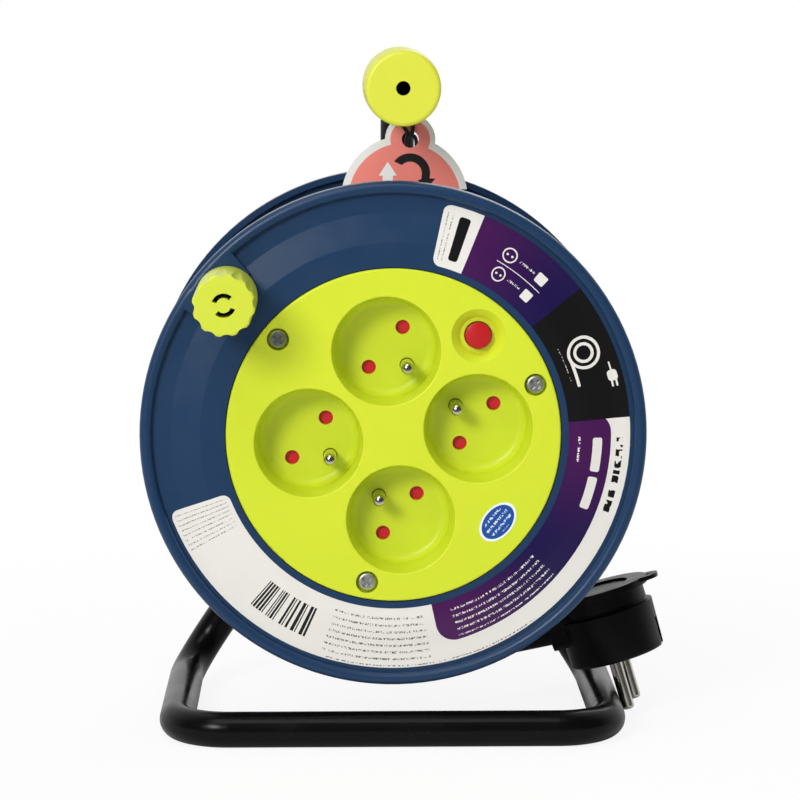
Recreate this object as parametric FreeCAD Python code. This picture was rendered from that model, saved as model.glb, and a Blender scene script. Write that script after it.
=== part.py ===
import FreeCAD
import Part
import math
import os

# Extension cord reel: a bent steel tube stand with a handle, a drum that turns on an axle at its
# back, four sockets behind a round panel, and the cable wound between the drum's flanges.
# Sizes are in millimetres. While a piece is made, the drum's axis is the line x = 0, z = 0, the
# front of the drum is y = 0 and depth grows towards the back. save() then puts the floor at
# z = 0 and the middle of the depth at y = 0.
# Pieces of the drum are drawn with the cut-out button to the right and the knob on top, and
# turned to their resting place at the end. Angles are anticlockwise as seen from the front.

# Stand
tube_radius = 6.5
tube_wall = 1.2
axle_height = 113.5
foot_half_width = 79.2
leg_plane = 112.5
foot_corner_bend = 19.5
knee_bend = 20.0
handle_bend = 25.0
leg_offset = 7.5
riser_offset = 3.5
left_leg_drop = 39.7

# Handle grip
grip_height = 123.9
grip_length = 86.0
grip_end_radius = 13.4
grip_middle_radius = 14.1
grip_front_wall = 4.0
grip_hole_radius = 2.55
grip_edge_round = 1.6

# Hub plate and axle
plate_thickness = 3.0
plate_top = 17.0
plate_bottom = 27.0
plate_margin = 8.0
plate_corner = 6.0
weld_radius = 1.3
weld_top = 7.0
weld_drop = 18.0
weld_spread = 4.7
weld_rise = 0.4
axle_radius = 6.0
axle_front = 60.9
spigot_radius = 4.5
thrust_washer_radius = 13.0
thrust_washer_thickness = 1.5
retaining_washer_radius = 10.5
retaining_washer_thickness = 1.6
axle_screw_radius = 3.0
axle_screw_length = 14.0
axle_screw_head_radius = 5.5
axle_screw_head_height = 3.6
axle_chamfer = 0.6

# Drum
drum_radius = 91.0
drum_depth = 98.0
bead_width = 4.4
rim_wall = 2.4
rim_depth = 8.0
face_level = 1.0
recess_level = 3.0
recess_ratio = 0.637
face_ratio = 0.291
web_thickness = 2.6
barrel_radius = 58.0
barrel_wall = 2.2
barrel_foot = 2.9
lap_length = 4.0
lap_gap = 0.2
hub_radius = 11.0
hub_front = 61.5
hub_back = 100.0
bush_wall = 1.95
bush_flange_radius = 12.0
bush_flange_thickness = 1.2
rib_thickness = 2.0
rib_height = 14.0
rib_count = 6
drum_turn = 49.8

# Screws that hold the drum's halves together
drum_screw_inset = 5.3
drum_screw_angles = (30.0, 150.0, 270.0)
drum_boss_radius = 5.8
drum_boss_front = 24.0
drum_screw_radius = 2.0
drum_screw_length = 28.0
drum_screw_head_radius = 3.9
drum_screw_head_height = 2.6
drum_screw_seat = 60.0
counterbore_gap = 0.4

# Winding knob
knob_ratio = 0.565
knob_front = 34.0
knob_radius = 11.0
knob_edge_round = 1.0
scallop_count = 12
scallop_radius = 3.4
scallop_depth = 0.9
scallop_length = 23.8
pad_half_angle = 8.6
pad_radius = 10.6
post_radius = 4.0
post_length = 27.0
post_groove_depth = 0.8
post_groove_width = 4.2
post_head = 2.0
post_chamfer = 0.8
knob_fit = 0.08
knob_hook_reach = 0.55
knob_slot_inner = 2.6
knob_slot_outer = 4.2
knob_slots = ((-4.0, 112.0), (177.0, 292.0))
knob_bore_gap = 0.8

# Socket panel, whose moulding is kept as five solids: its plate and the cups of its sockets
panel_overhang = 2.1
panel_gap = 0.3
panel_face = 0.4
panel_thickness = 2.4
panel_edge_round = 0.8
socket_reach = 30.5
socket_radius = 19.6
socket_floor_radius = 17.7
socket_depth = 15.5
socket_floor = 2.0
socket_wall = 1.7
socket_floor_round = 3.5
socket_rim_round = 0.5
contact_spacing = 19.0
contact_hole_radius = 2.6
earth_offset = 10.0
pin_radius = 2.4
pin_root_radius = 2.2
pin_root_step = 0.2
pin_gap = 0.15
earth_pin_length = 14.0

# Screws of the panel
panel_screw_inset = 6.1
panel_screw_angles = (-30.0, 90.0, 210.0)
panel_counterbore_radius = 4.0
panel_counterbore_depth = 3.1
panel_screw_floor = 1.5
panel_boss_wall = 1.2
front_boss_radius = 4.0
front_boss_length = 17.0
panel_screw_radius = 1.95
panel_screw_length = 13.0
panel_screw_head_radius = 3.4
panel_screw_head_height = 2.3

# Overload cut-out
button_inset = 8.8
dish_radius = 9.7
dish_floor_radius = 6.45
dish_depth = 3.5
dish_wall = 1.5
button_radius = 4.7
button_gap = 0.3
button_rise = 2.4
button_dome = 0.6
button_dome_shoulder = 2.1
button_collar_radius = 5.6
button_collar_thickness = 1.2
breaker_front_wall = 1.6
breaker_width = 13.0
breaker_height = 16.2
breaker_depth = 28.6
breaker_pocket_depth = 9.5
breaker_edge_round = 1.0
button_spigot_length = 2.0
terminal_width = 6.3
terminal_thickness = 0.8
terminal_length = 8.0
terminal_spacing = 9.0
terminal_hole_radius = 1.2
terminal_hole_end = 2.5
reset_spring_radius = 3.0
reset_spring_wire = 0.35
reset_spring_turns = 5

# Shutters and contacts
shutter_thickness = 1.6
shutter_gap = 0.2
shutter_half_length = 12.6
shutter_half_width = 3.4
shutter_travel = 6.2
shutter_ramp = 0.9
base_radius = 18.3
base_thickness = 4.1
base_lug_reach = 33.5
base_lug_radius = 4.0
base_screw_radius = 1.5
base_screw_length = 9.0
base_screw_head_radius = 2.8
base_screw_head_height = 2.0
panel_post_radius = 3.0
bar_width = 6.0
bar_thickness = 0.8
live_bar_level = 26.0
neutral_bar_level = 32.0
live_post_reach = 27.5
neutral_post_place = (12.07, 8.0)
bar_post_radius = 2.4
stake_radius = 1.2
stake_height = 1.0
post_margin = 1.0
clip_front = 24.0
clip_back = 33.5
clip_thickness = 0.6
clip_width = 4.6
rivet_radius = 1.6
rivet_head_radius = 2.4
rivet_head_height = 0.8

# Cable
cable_radius = 3.5
cable_layers_below = 2
layer_rise = 7.05
winding_turns = 10.5
winding_pitch = 7.46
winding_first = 9.5
winding_end_angle = -155.0
core_gap = 0.2
tail_gap = 0.7
tail_first_step = 1.0
tail_start_depth = 85.5
tail_depths = (83.5, 77.0, 68.0)
tail_step_angle = 20.0
tail_start_length = 16.5
tail_lead_length = 30.0
inlet_depth = 62.0
inner_end_length = 10.0
inlet_gap = 0.2
clamp_inset = 9.8
clamp_length = 7.0
clamp_thickness = 3.0
clamp_corner = 3.0
clamp_screw_spacing = 16.0
clamp_overhang = 3.5
clamp_post_radius = 3.2
clamp_saddle = 2.5
clamp_screw_radius = 1.5
clamp_screw_length = 12.0
clamp_screw_head_radius = 2.8
clamp_screw_head_height = 2.0

# Plug, which hangs beside the stand
plug_x = 86.2
plug_y = 56.0
plug_z = -91.85
plug_tilt = 16.4
plug_lean = 3.5
plug_yaw = 12.0
plug_radius = 18.0
plug_draft = 0.5
plug_height = 18.3
collar_radius = 16.6
collar_groove = 0.8
collar_groove_height = 1.2
plug_top = 24.6
plug_edge_round = 1.2
pin_socket_depth = 11.0
pin_end_round = 1.2
plug_pin_length = 19.0
plug_pin_spacing = 19.0
lid_radius = 18.6
lid_thickness = 2.6
lid_gap = 0.1
lid_dish_radius = 11.5
lid_dish_depth = 0.9
lip_reach = 23.2
lip_half_width = 6.0
lip_thickness = 1.55
lip_corner = 5.1
lip_hole_reach = 20.6
lip_hole_side = 3.2
exit_height = 15.5
exit_reach = 21.0
exit_half_width = 11.5
exit_half_height = 6.6
exit_sink = 4.0
exit_round = 3.0
relief_radius = 5.4
relief_end_radius = 4.4
relief_length = 20.0
earth_clip_width = 5.0
earth_clip_thickness = 0.7
earth_clip_height = 11.0
earth_clip_sink = 0.95

# Tag, which hangs from the bare tube behind the grip
tag_gap = 2.0
tag_thickness = 0.5
tag_radius = 24.2
tag_side = 2.3
tag_drop = 44.4
ear_radius = 9.6
ear_side = 4.5
ear_drop = 21.6
ear_hole_radius = 3.2
string_radius = 0.6
string_spread = 1.4
string_slack = 0.85

# Shapes that all the screws share, as parts of the head's height and the radii
screw_dome = 0.45
screw_point = 0.5
cross_length = 0.62
cross_width = 0.17
cross_depth = 0.4

# How much of the shorter run beside it a cord's bend may take
bend_share = 0.45

# Clearances shared by many fits
running_gap = 0.3
fit_gap = 0.05
seat_gap = 0.1

# How far a cutting shape or a joined foot runs past the face that it meets
over = 1.0

# Follows from the sizes above
floor_level = -axle_height
bar_level = floor_level + tube_radius
leg_slope = (foot_half_width - leg_offset) / -bar_level
riser_foot = (leg_offset - riser_offset) / leg_slope
plate_back = leg_plane - tube_radius
plate_front = plate_back - plate_thickness
barrel_bore = barrel_radius - barrel_wall
drum_screw_reach = barrel_bore - drum_screw_inset
clamp_reach = barrel_bore - clamp_inset
inlet_inner_end = clamp_reach - inner_end_length
button_reach = barrel_bore - button_inset
panel_radius = barrel_radius + panel_overhang
panel_screw_reach = panel_radius - panel_screw_inset
panel_opening = panel_radius + panel_gap
flange_width = drum_radius - panel_opening
recess_inner_radius = panel_opening + flange_width * recess_ratio
face_outer_radius = panel_opening + flange_width * face_ratio
knob_reach = panel_opening + flange_width * knob_ratio
panel_back = panel_face + panel_thickness
panel_seat = panel_back + seat_gap
socket_offset = socket_reach / math.sqrt(2)
socket_floor_face = panel_face + socket_depth
socket_back = socket_floor_face + socket_floor
base_back = socket_back + base_thickness
screw_floor_back = panel_face + panel_counterbore_depth + panel_screw_floor
drum_middle = drum_depth / 2
bush_radius = axle_radius + fit_gap + bush_wall
hub_bore = bush_radius + fit_gap
bush_front = axle_front + running_gap
bush_back = hub_back + bush_flange_thickness
core_radius = barrel_radius + (2 * cable_radius) + layer_rise * (cable_layers_below - 1)
winding_radius = core_radius + core_gap + cable_radius
tail_radius = winding_radius + 2 * cable_radius + tail_gap
dish_floor = panel_face + dish_depth
breaker_front = dish_floor + dish_wall
breaker_back = breaker_front + breaker_depth
collar_front = breaker_front + breaker_front_wall + running_gap
spring_front = collar_front + button_collar_thickness
spring_back = breaker_front + breaker_front_wall + breaker_pocket_depth
tag_depth = grip_length + tag_gap
tag_centre = (riser_offset + tag_side, grip_height - tag_drop)
tag_bottom = winding_radius + cable_radius + 2 * tag_gap
ear_centre = (riser_offset + ear_side, grip_height - ear_drop)
model_front = -knob_front
model_back = leg_plane + tube_radius
model_middle = (model_front + model_back) / 2

point = FreeCAD.Vector
origin = point(0, 0, 0)
back = point(0, 1, 0)
sockets = [(a * socket_offset, b * socket_offset) for b in (1, -1) for a in (-1, 1)]


# Building blocks

def disc(radius, front, rear, u=0.0, v=0.0):
    """A cylinder along the drum's axis between two depths."""
    return Part.makeCylinder(radius, rear - front, point(u, front, v), back)


def block(u0, u1, front, rear, v0, v1):
    return Part.makeBox(u1 - u0, rear - front, v1 - v0, point(u0, front, v0))


def at_angle(radius, angle):
    """The place at a radius and an angle round the drum's axis."""
    a = math.radians(angle)
    return radius * math.cos(a), radius * math.sin(a)


def spun(shape, angle):
    """A copy turned anticlockwise about the drum's axis."""
    return shape.rotated(origin, -back, angle)


def outline(start, *steps):
    """A flat face: each step is a point to reach by a line, or a pair (via, to) for an arc."""
    first = point(start[0], start[1], 0)
    here = first
    edges = []
    for step in steps:
        if isinstance(step[0], tuple):
            there = point(step[1][0], step[1][1], 0)
            via = point(step[0][0], step[0][1], 0)
            edges.append(Part.Arc(here, via, there).toShape())
        else:
            there = point(step[0], step[1], 0)
            edges.append(Part.LineSegment(here, there).toShape())
        here = there
    if here.distanceToPoint(first) > 1e-6:
        edges.append(Part.LineSegment(here, first).toShape())
    return Part.Face(Part.Wire(edges))


def revolved(face, u=0.0, v=0.0):
    """An outline of (radius, depth) turned round a line along the drum's axis at (u, v)."""
    moved = face.translated(point(u, 0, v))
    return moved.revolve(point(u, 0, v), back, 360)


def plate(face, front, rear):
    """An outline of (x, z) made into a plate between two depths."""
    upright = face.rotated(origin, point(1, 0, 0), 90)
    return upright.translated(point(0, front, 0)).extrude(point(0, rear - front, 0))


def sector(inner, outer, front, rear, start, end):
    """A piece of a ring between two radii, two depths and two angles."""
    middle = (start + end) / 2
    face = outline(
        at_angle(inner, start),
        at_angle(outer, start),
        (at_angle(outer, middle), at_angle(outer, end)),
        at_angle(inner, end),
        (at_angle(inner, middle), at_angle(inner, start)),
    )
    return plate(face, front, rear)


def ring_edges(shape, radius, depth):
    """The round edges of one radius at one depth."""
    found = []
    for edge in shape.Edges:
        curve = edge.Curve
        if isinstance(curve, Part.Circle) and abs(curve.Radius - radius) < 1e-4:
            if abs(curve.Center.y - depth) < 1e-4:
                found.append(edge)
    return found


def joined(shapes):
    """One solid from shapes that touch or overlap."""
    return shapes[0].fuse(shapes[1:]).removeSplitter()


def without(shape, cutters):
    return shape.cut(cutters)


def group(shapes):
    """Separate solids that share one file."""
    solids = []
    for shape in shapes:
        solids.extend(shape.Solids)
    return Part.makeCompound(solids)


def bend_radii(points):
    """The largest bend that each inner point's runs allow."""
    radii = []
    for i in range(1, len(points) - 1):
        before = points[i] - points[i - 1]
        after = points[i + 1] - points[i]
        shorter = min(before.Length, after.Length)
        radii.append(bend_share * shorter / math.tan(before.getAngle(after) / 2))
    return radii


def bent_path(points, radii):
    """Straight runs through the points, joined at each inner point by a tangent arc."""
    edges = []
    start = points[0]
    for i in range(1, len(points) - 1):
        before = (points[i] - points[i - 1]).normalize()
        after = (points[i + 1] - points[i]).normalize()
        half_turn = before.getAngle(after) / 2
        radius = radii[i - 1]
        reach = radius * math.tan(half_turn)
        inward = (after - before).normalize()
        arc_start = points[i] - before * reach
        arc_middle = points[i] + inward * (radius / math.cos(half_turn) - radius)
        arc_end = points[i] + after * reach
        edges.append(Part.LineSegment(start, arc_start).toShape())
        edges.append(Part.Arc(arc_start, arc_middle, arc_end).toShape())
        start = arc_end
    edges.append(Part.LineSegment(start, points[-1]).toShape())
    return Part.Wire(edges)


def tube_on(path, radius, start, direction):
    """A solid round bar swept along a path that starts at a point in a direction."""
    section = Part.Wire(Part.makeCircle(radius, start, direction))
    return path.makePipeShell([section], True, False)


def screw(head_radius, head_height, shank_radius, length, seat, u, v, facing=1):
    """A round-headed cross-recess screw along the drum's axis; facing 1 points it backwards."""
    head = disc(head_radius, -head_height, 0.0)
    head = head.makeFillet(head_height * screw_dome, ring_edges(head, head_radius, -head_height))
    shank = disc(shank_radius, 0.0, length)
    shank = shank.makeChamfer(shank_radius * screw_point, ring_edges(shank, shank_radius, length))
    slot_half = head_radius * cross_length
    slot_width = head_radius * cross_width
    slot_floor = -head_height * cross_depth
    body = joined([head, shank])
    body = without(body, [
        block(-slot_half, slot_half, -head_height - over, slot_floor, -slot_width, slot_width),
        block(-slot_width, slot_width, -head_height - over, slot_floor, -slot_half, slot_half),
    ])
    if facing < 0:
        body = body.rotated(origin, point(0, 0, 1), 180)
    return body.translated(point(u, seat, v))


# Stand

def stand_points():
    """Corners of the one long tube, from its front end inside the grip to the left leg."""
    left_leg_stop = -left_leg_drop
    return [
        point(riser_offset, grip_front_wall, grip_height),
        point(riser_offset, leg_plane, grip_height),
        point(riser_offset, leg_plane, riser_foot),
        point(foot_half_width, leg_plane, bar_level),
        point(foot_half_width, 0, bar_level),
        point(-foot_half_width, 0, bar_level),
        point(-foot_half_width, leg_plane, bar_level),
        point(-leg_offset + leg_slope * left_leg_stop, leg_plane, left_leg_stop),
    ]


def stand_tube():
    """The bent tube, whose coped end is welded to its own riser."""
    corners = stand_points()
    bends = [handle_bend, handle_bend, knee_bend, foot_corner_bend, foot_corner_bend, knee_bend]
    path = bent_path(corners, bends)
    bore = tube_radius - tube_wall
    outer = tube_on(path, tube_radius, corners[0], back)
    inner = tube_on(path, bore, corners[0], back)
    left_end = corners[-1]
    meeting = point(riser_offset, leg_plane, (riser_offset + leg_offset) / leg_slope)
    along = meeting - left_end
    branch = Part.makeCylinder(tube_radius, along.Length, left_end, along)
    branch_bore = Part.makeCylinder(bore, along.Length, left_end, along)
    branch = without(branch, [branch_bore, outer])
    return joined([without(outer, [inner]), branch])


def handle_grip():
    bore = tube_radius + fit_gap
    middle = grip_length / 2
    face = outline(
        (grip_hole_radius, 0),
        (grip_end_radius, 0),
        ((grip_middle_radius, middle), (grip_end_radius, grip_length)),
        (bore, grip_length),
        (bore, grip_front_wall),
        (grip_hole_radius, grip_front_wall),
    )
    grip = revolved(face, riser_offset, grip_height)
    ends = ring_edges(grip, grip_end_radius, 0) + ring_edges(grip, grip_end_radius, grip_length)
    return grip.makeFillet(grip_edge_round, ends)


def hub_plate():
    """The steel plate across the legs that carries the axle."""
    top = leg_offset + plate_margin
    low = leg_offset + leg_slope * plate_bottom + plate_margin
    face = outline((-top, plate_top), (top, plate_top), (low, -plate_bottom), (-low, -plate_bottom))
    body = plate(face, plate_front, plate_back)
    upright = [e for e in body.Edges if e.BoundBox.YLength > plate_thickness - fit_gap]
    body = body.makeFillet(plate_corner, upright)
    return without(body, [disc(spigot_radius + fit_gap, plate_front - over, plate_back + over)])


def hub_welds(tube, hub):
    """Weld runs along both sides of each leg, behind the hub plate."""
    runs = []
    length = weld_drop * math.hypot(leg_slope, 1)
    for side in (-1, 1):
        down = point(side * leg_slope, 0, -1).normalize()
        across = point(down.z, 0, -down.x)
        start = point(side * (leg_offset + leg_slope * weld_top), plate_back + weld_rise, -weld_top)
        for edge in (-1, 1):
            runs.append(Part.makeCylinder(weld_radius, length, start + across * (edge * weld_spread), down))
    return group([without(run, [tube, hub]) for run in runs])


def axle():
    """The pin that the drum turns on, with a spigot welded into the hub plate."""
    face = outline(
        (0, axle_front),
        (axle_radius, axle_front),
        (axle_radius, plate_front),
        (spigot_radius, plate_front),
        (spigot_radius, plate_back - fit_gap),
        (0, plate_back - fit_gap),
    )
    pin = revolved(face)
    pin = pin.makeChamfer(axle_chamfer, ring_edges(pin, axle_radius, axle_front))
    hole_end = axle_front + axle_screw_length
    return without(pin, [disc(axle_screw_radius + fit_gap, axle_front - over, hole_end)])


def thrust_washer():
    ring = disc(thrust_washer_radius, plate_front - thrust_washer_thickness, plate_front)
    return without(ring, [disc(axle_radius + running_gap, axle_front, plate_front + over)])


def retaining_washer():
    front = axle_front - retaining_washer_thickness
    ring = disc(retaining_washer_radius, front, axle_front)
    return without(ring, [disc(axle_screw_radius + running_gap, front - over, axle_front + over)])


def axle_screw():
    seat = axle_front - retaining_washer_thickness
    return screw(axle_screw_head_radius, axle_screw_head_height, axle_screw_radius,
                 axle_screw_length, seat, 0, 0)


# Drum

def flange_steps(depth_of):
    """The flange's section from its flat face, over the bead and rim, to the barrel's foot."""
    bead = bead_width / 2
    crest = drum_radius - bead
    rim_inside = drum_radius - rim_wall
    cone_top = panel_opening + barrel_foot
    return [
        (face_outer_radius, depth_of(face_level)),
        (recess_inner_radius, depth_of(recess_level)),
        (drum_radius - bead_width, depth_of(recess_level)),
        (drum_radius - bead_width, depth_of(bead)),
        ((crest, depth_of(0)), (drum_radius, depth_of(bead))),
        (drum_radius, depth_of(rim_depth)),
        (rim_inside, depth_of(rim_depth)),
        (rim_inside, depth_of(recess_level + web_thickness)),
        (recess_inner_radius, depth_of(recess_level + web_thickness)),
        (face_outer_radius, depth_of(face_level + web_thickness)),
        (cone_top, depth_of(face_level + web_thickness)),
        (panel_opening, depth_of(face_level + web_thickness + barrel_foot)),
        (barrel_radius, depth_of(face_level + web_thickness + barrel_foot)),
    ]


def drum_front():
    """Front half: flange with the panel's seat, barrel, screw bosses and the knob's post."""
    lap_radius = barrel_radius - barrel_wall / 2
    steps = flange_steps(lambda depth: depth) + [
        (barrel_radius, drum_middle),
        (lap_radius, drum_middle),
        (lap_radius, drum_middle - lap_length),
        (barrel_bore, drum_middle - lap_length),
        (barrel_bore, panel_seat),
        (panel_opening, panel_seat),
    ]
    shell = revolved(outline((panel_opening, face_level), *steps))
    parts = [shell]
    cuts = []
    for angle in panel_screw_angles:
        u, v = at_angle(panel_screw_reach, angle)
        parts.append(disc(front_boss_radius, screw_floor_back, screw_floor_back + front_boss_length, u, v))
        hole_end = screw_floor_back + panel_screw_length
        cuts.append(disc(panel_screw_radius + fit_gap, panel_seat, hole_end, u, v))
        pocket = panel_counterbore_radius + panel_boss_wall + running_gap
        cuts.append(disc(pocket, panel_seat - over, screw_floor_back, u, v))
    for angle in drum_screw_angles:
        u, v = at_angle(drum_screw_reach, angle)
        parts.append(disc(drum_boss_radius, drum_boss_front, drum_middle, u, v))
        hole_end = drum_screw_seat - drum_screw_length - running_gap
        cuts.append(disc(drum_screw_radius + fit_gap, hole_end, drum_middle + over, u, v))
    outside = disc(barrel_radius, 0, drum_depth)
    parts = [shell] + [boss.common(outside) for boss in parts[1:]]
    lap_front = drum_middle - lap_length
    lap = disc(lap_radius, lap_front, drum_middle)
    cuts.append(without(lap, [disc(barrel_bore - fit_gap, lap_front, drum_middle)]))
    body = without(joined(parts), cuts)
    return knob_post_on(body)


def knob_post_on(body):
    """Adds the raised pad beside the bead and the grooved post that the knob turns on."""
    crest = drum_radius - bead_width / 2
    floor = recess_level + web_thickness / 2
    pad = sector(knob_reach, crest, 0, floor, 90 - pad_half_angle, 90 + pad_half_angle)
    round_pad = disc(pad_radius, 0, floor, 0, knob_reach)
    groove_front = -post_length + post_head
    groove_back = groove_front + post_groove_width
    neck = post_radius - post_groove_depth
    post = revolved(outline(
        (0, floor),
        (post_radius, floor),
        (post_radius, groove_back),
        (neck, groove_back),
        (neck, groove_front),
        (post_radius, groove_front),
        (post_radius - post_chamfer, -post_length),
        (0, -post_length),
    ), 0, knob_reach)
    return joined([body, pad, round_pad, post])


def drum_rear():
    """Rear half: closed flange, barrel with its lap, hub, ribs and the posts of the cable clamp."""
    inner_face = drum_depth - face_level - web_thickness
    lip_radius = barrel_radius - barrel_wall / 2 - fit_gap
    lip_front = drum_middle - lap_length + lap_gap
    steps = flange_steps(lambda depth: drum_depth - depth) + [
        (barrel_radius, drum_middle),
        (lip_radius, drum_middle),
        (lip_radius, lip_front),
        (barrel_bore, lip_front),
        (barrel_bore, inner_face),
        (0, inner_face),
        (0, drum_depth - face_level),
    ]
    shell = revolved(outline((panel_opening, drum_depth - face_level), *steps))
    parts = [disc(hub_radius, hub_front, hub_back)]
    cuts = [disc(hub_bore, hub_front - over, hub_back + over)]
    for i in range(rib_count):
        rib = block(hub_radius - over, barrel_radius - over, inner_face - rib_height, inner_face + over,
                    -rib_thickness / 2, rib_thickness / 2)
        parts.append(spun(rib, i * 360 / rib_count))
    for angle in drum_screw_angles:
        u, v = at_angle(drum_screw_reach, angle)
        parts.append(disc(drum_boss_radius, drum_middle, inner_face + over, u, v))
        bore = drum_screw_head_radius + counterbore_gap
        cuts.append(disc(bore, drum_screw_seat, drum_depth, u, v))
        cuts.append(disc(drum_screw_radius + fit_gap, drum_middle - over, drum_depth, u, v))
    parts += clamp_posts(inner_face)
    for side in (-1, 1):
        v = side * clamp_screw_spacing / 2
        front = inlet_depth - cable_radius
        cuts.append(disc(clamp_screw_radius + fit_gap, front, front + clamp_screw_length, -clamp_reach, v))
    inlet_start = point(-barrel_radius - over, inlet_depth, 0)
    inlet = Part.makeCylinder(cable_radius + inlet_gap, 3 * barrel_wall, inlet_start, point(1, 0, 0))
    outside = disc(barrel_radius, 0, hub_back)
    parts = [part.common(outside) for part in parts]
    return without(joined([shell] + parts), cuts + [inlet])


def clamp_posts(inner_face):
    """Two posts and a saddle between them, under the cable's inner end."""
    saddle_front = inlet_depth + cable_radius
    posts = []
    for side in (-1, 1):
        v = side * clamp_screw_spacing / 2
        posts.append(disc(clamp_post_radius, inlet_depth - cable_radius + running_gap,
                          inner_face + over, -clamp_reach, v))
    half = clamp_length / 2
    reach = clamp_screw_spacing / 2
    posts.append(block(-clamp_reach - half, -clamp_reach + half, saddle_front,
                       saddle_front + clamp_saddle, -reach, reach))
    return posts


def drum_screws():
    screws = []
    for angle in drum_screw_angles:
        u, v = at_angle(drum_screw_reach, angle)
        screws.append(screw(drum_screw_head_radius, drum_screw_head_height, drum_screw_radius,
                            drum_screw_length, drum_screw_seat, u, v, -1))
    return group(screws)


def hub_bush():
    """The flanged bush pressed into the drum's hub."""
    face = outline(
        (axle_radius + fit_gap, bush_front),
        (bush_radius, bush_front),
        (bush_radius, hub_back),
        (bush_flange_radius, hub_back),
        (bush_flange_radius, bush_back),
        (axle_radius + fit_gap, bush_back),
    )
    return revolved(face)


# Winding knob

def winding_knob():
    """The knob: scallops that fade towards its base, a bore for the post and two snap hooks."""
    front = -knob_front
    base = -running_gap
    body = disc(knob_radius, front, base, 0, knob_reach)
    body = body.makeFillet(knob_edge_round, ring_edges(body, knob_radius, front))
    tilt = math.degrees(math.atan2(scallop_depth, scallop_length))
    cuts = []
    for i in range(scallop_count):
        reach = knob_radius + scallop_radius - scallop_depth
        cutter = Part.makeCylinder(scallop_radius, knob_front, point(reach, front - over, 0), back)
        cutter.rotate(point(reach, front, 0), point(0, 0, 1), -tilt)
        cutter.rotate(origin, -back, (i + 0.5) * 360 / scallop_count)
        cutter.translate(point(0, 0, knob_reach))
        cuts.append(cutter)
    bore_front = -post_length - knob_bore_gap
    cuts.append(disc(post_radius + knob_fit, bore_front, base + over, 0, knob_reach))
    for start, end in knob_slots:
        slot = sector(knob_slot_inner, knob_slot_outer, front - over, bore_front + over, start, end)
        cuts.append(slot.translated(point(0, 0, knob_reach)))
    body = without(body, cuts)
    hooks = []
    groove_front = -post_length + post_head
    hook_inner = post_radius - knob_hook_reach
    for start, end in knob_slots:
        hook = sector(hook_inner, post_radius + over, groove_front + running_gap,
                      groove_front + post_groove_width - running_gap, start, end)
        hooks.append(hook.translated(point(0, 0, knob_reach)))
    return joined([body] + hooks)


# Socket panel

def socket_recess(u, v):
    """The space that a plug goes into."""
    recess = revolved(outline(
        (0, panel_face),
        (socket_radius, panel_face),
        (socket_floor_radius, socket_floor_face),
        (0, socket_floor_face),
    ), u, v)
    recess = recess.makeFillet(socket_floor_round, ring_edges(recess, socket_floor_radius, socket_floor_face))
    mouth = disc(socket_radius, panel_face - over, panel_face, u, v)
    return joined([recess, mouth])


def earth_place(u, v):
    """Where a socket's earth pin stands: on the side towards the panel's middle line."""
    return u, v - math.copysign(earth_offset, v)


def contact_places(u, v):
    half = contact_spacing / 2
    return [(u - half, v), (u + half, v)]


def socket_cup(u, v):
    """One socket's cup, from the panel's plate back to the contact base."""
    cup = revolved(outline(
        (0, panel_back),
        (socket_radius + socket_wall, panel_back),
        (socket_floor_radius + socket_wall, socket_back),
        (0, socket_back),
    ), u, v)
    cuts = [socket_recess(u, v)]
    eu, ev = earth_place(u, v)
    cuts.append(disc(pin_radius + pin_gap, socket_floor_face - over, socket_back + over, eu, ev))
    for cu, cv in contact_places(u, v):
        cuts.append(disc(contact_hole_radius, socket_floor_face - over, socket_back + over, cu, cv))
    boss = panel_counterbore_radius + panel_boss_wall + running_gap
    for angle in panel_screw_angles:
        bu, bv = at_angle(panel_screw_reach, angle)
        cuts.append(disc(boss, panel_back - over, screw_floor_back + running_gap, bu, bv))
    return without(cup, cuts)


def button_dish(grow):
    """The tapered dish round the reset button, or its outside when grown by a wall."""
    return revolved(outline(
        (0, panel_face),
        (dish_radius + grow, panel_face),
        (dish_floor_radius + grow, dish_floor + grow),
        (0, dish_floor + grow),
    ), button_reach, 0)


def socket_panel():
    """The panel's plate, with the mouths of its sockets, the button's dish and its screws' bosses."""
    face = disc(panel_radius, panel_face, panel_back)
    face = face.makeFillet(panel_edge_round, ring_edges(face, panel_radius, panel_face))
    inside = disc(barrel_bore - running_gap, panel_face, drum_middle)
    parts = [face, button_dish(dish_wall).common(inside)]
    for side in (-1, 1):
        parts.append(disc(panel_post_radius, panel_back - over, socket_back, 0, side * base_lug_reach))
    stem_hole = disc(button_radius + button_gap, panel_face, breaker_front + over, button_reach, 0)
    cuts = [button_dish(0), stem_hole]
    for angle in panel_screw_angles:
        u, v = at_angle(panel_screw_reach, angle)
        boss = panel_counterbore_radius + panel_boss_wall
        parts.append(disc(boss, panel_back - over, screw_floor_back, u, v))
        counterbore_floor = panel_face + panel_counterbore_depth
        cuts.append(disc(panel_counterbore_radius, panel_face - over, counterbore_floor, u, v))
        cuts.append(disc(panel_screw_radius + fit_gap, panel_face, screw_floor_back + over, u, v))
    cuts += [socket_recess(u, v) for u, v in sockets]
    for side in (-1, 1):
        hole_start = base_back - base_screw_length - running_gap
        lug = side * base_lug_reach
        cuts.append(disc(base_screw_radius + fit_gap, hole_start, socket_back + over, 0, lug))
    panel = without(joined(parts), cuts)
    return panel.makeFillet(socket_rim_round, ring_edges(panel, socket_radius, panel_face))


def panel_screws():
    screws = []
    for angle in panel_screw_angles:
        u, v = at_angle(panel_screw_reach, angle)
        seat = panel_face + panel_counterbore_depth
        screws.append(screw(panel_screw_head_radius, panel_screw_head_height, panel_screw_radius,
                            panel_screw_length, seat, u, v))
    return group(screws)


# Overload cut-out

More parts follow.
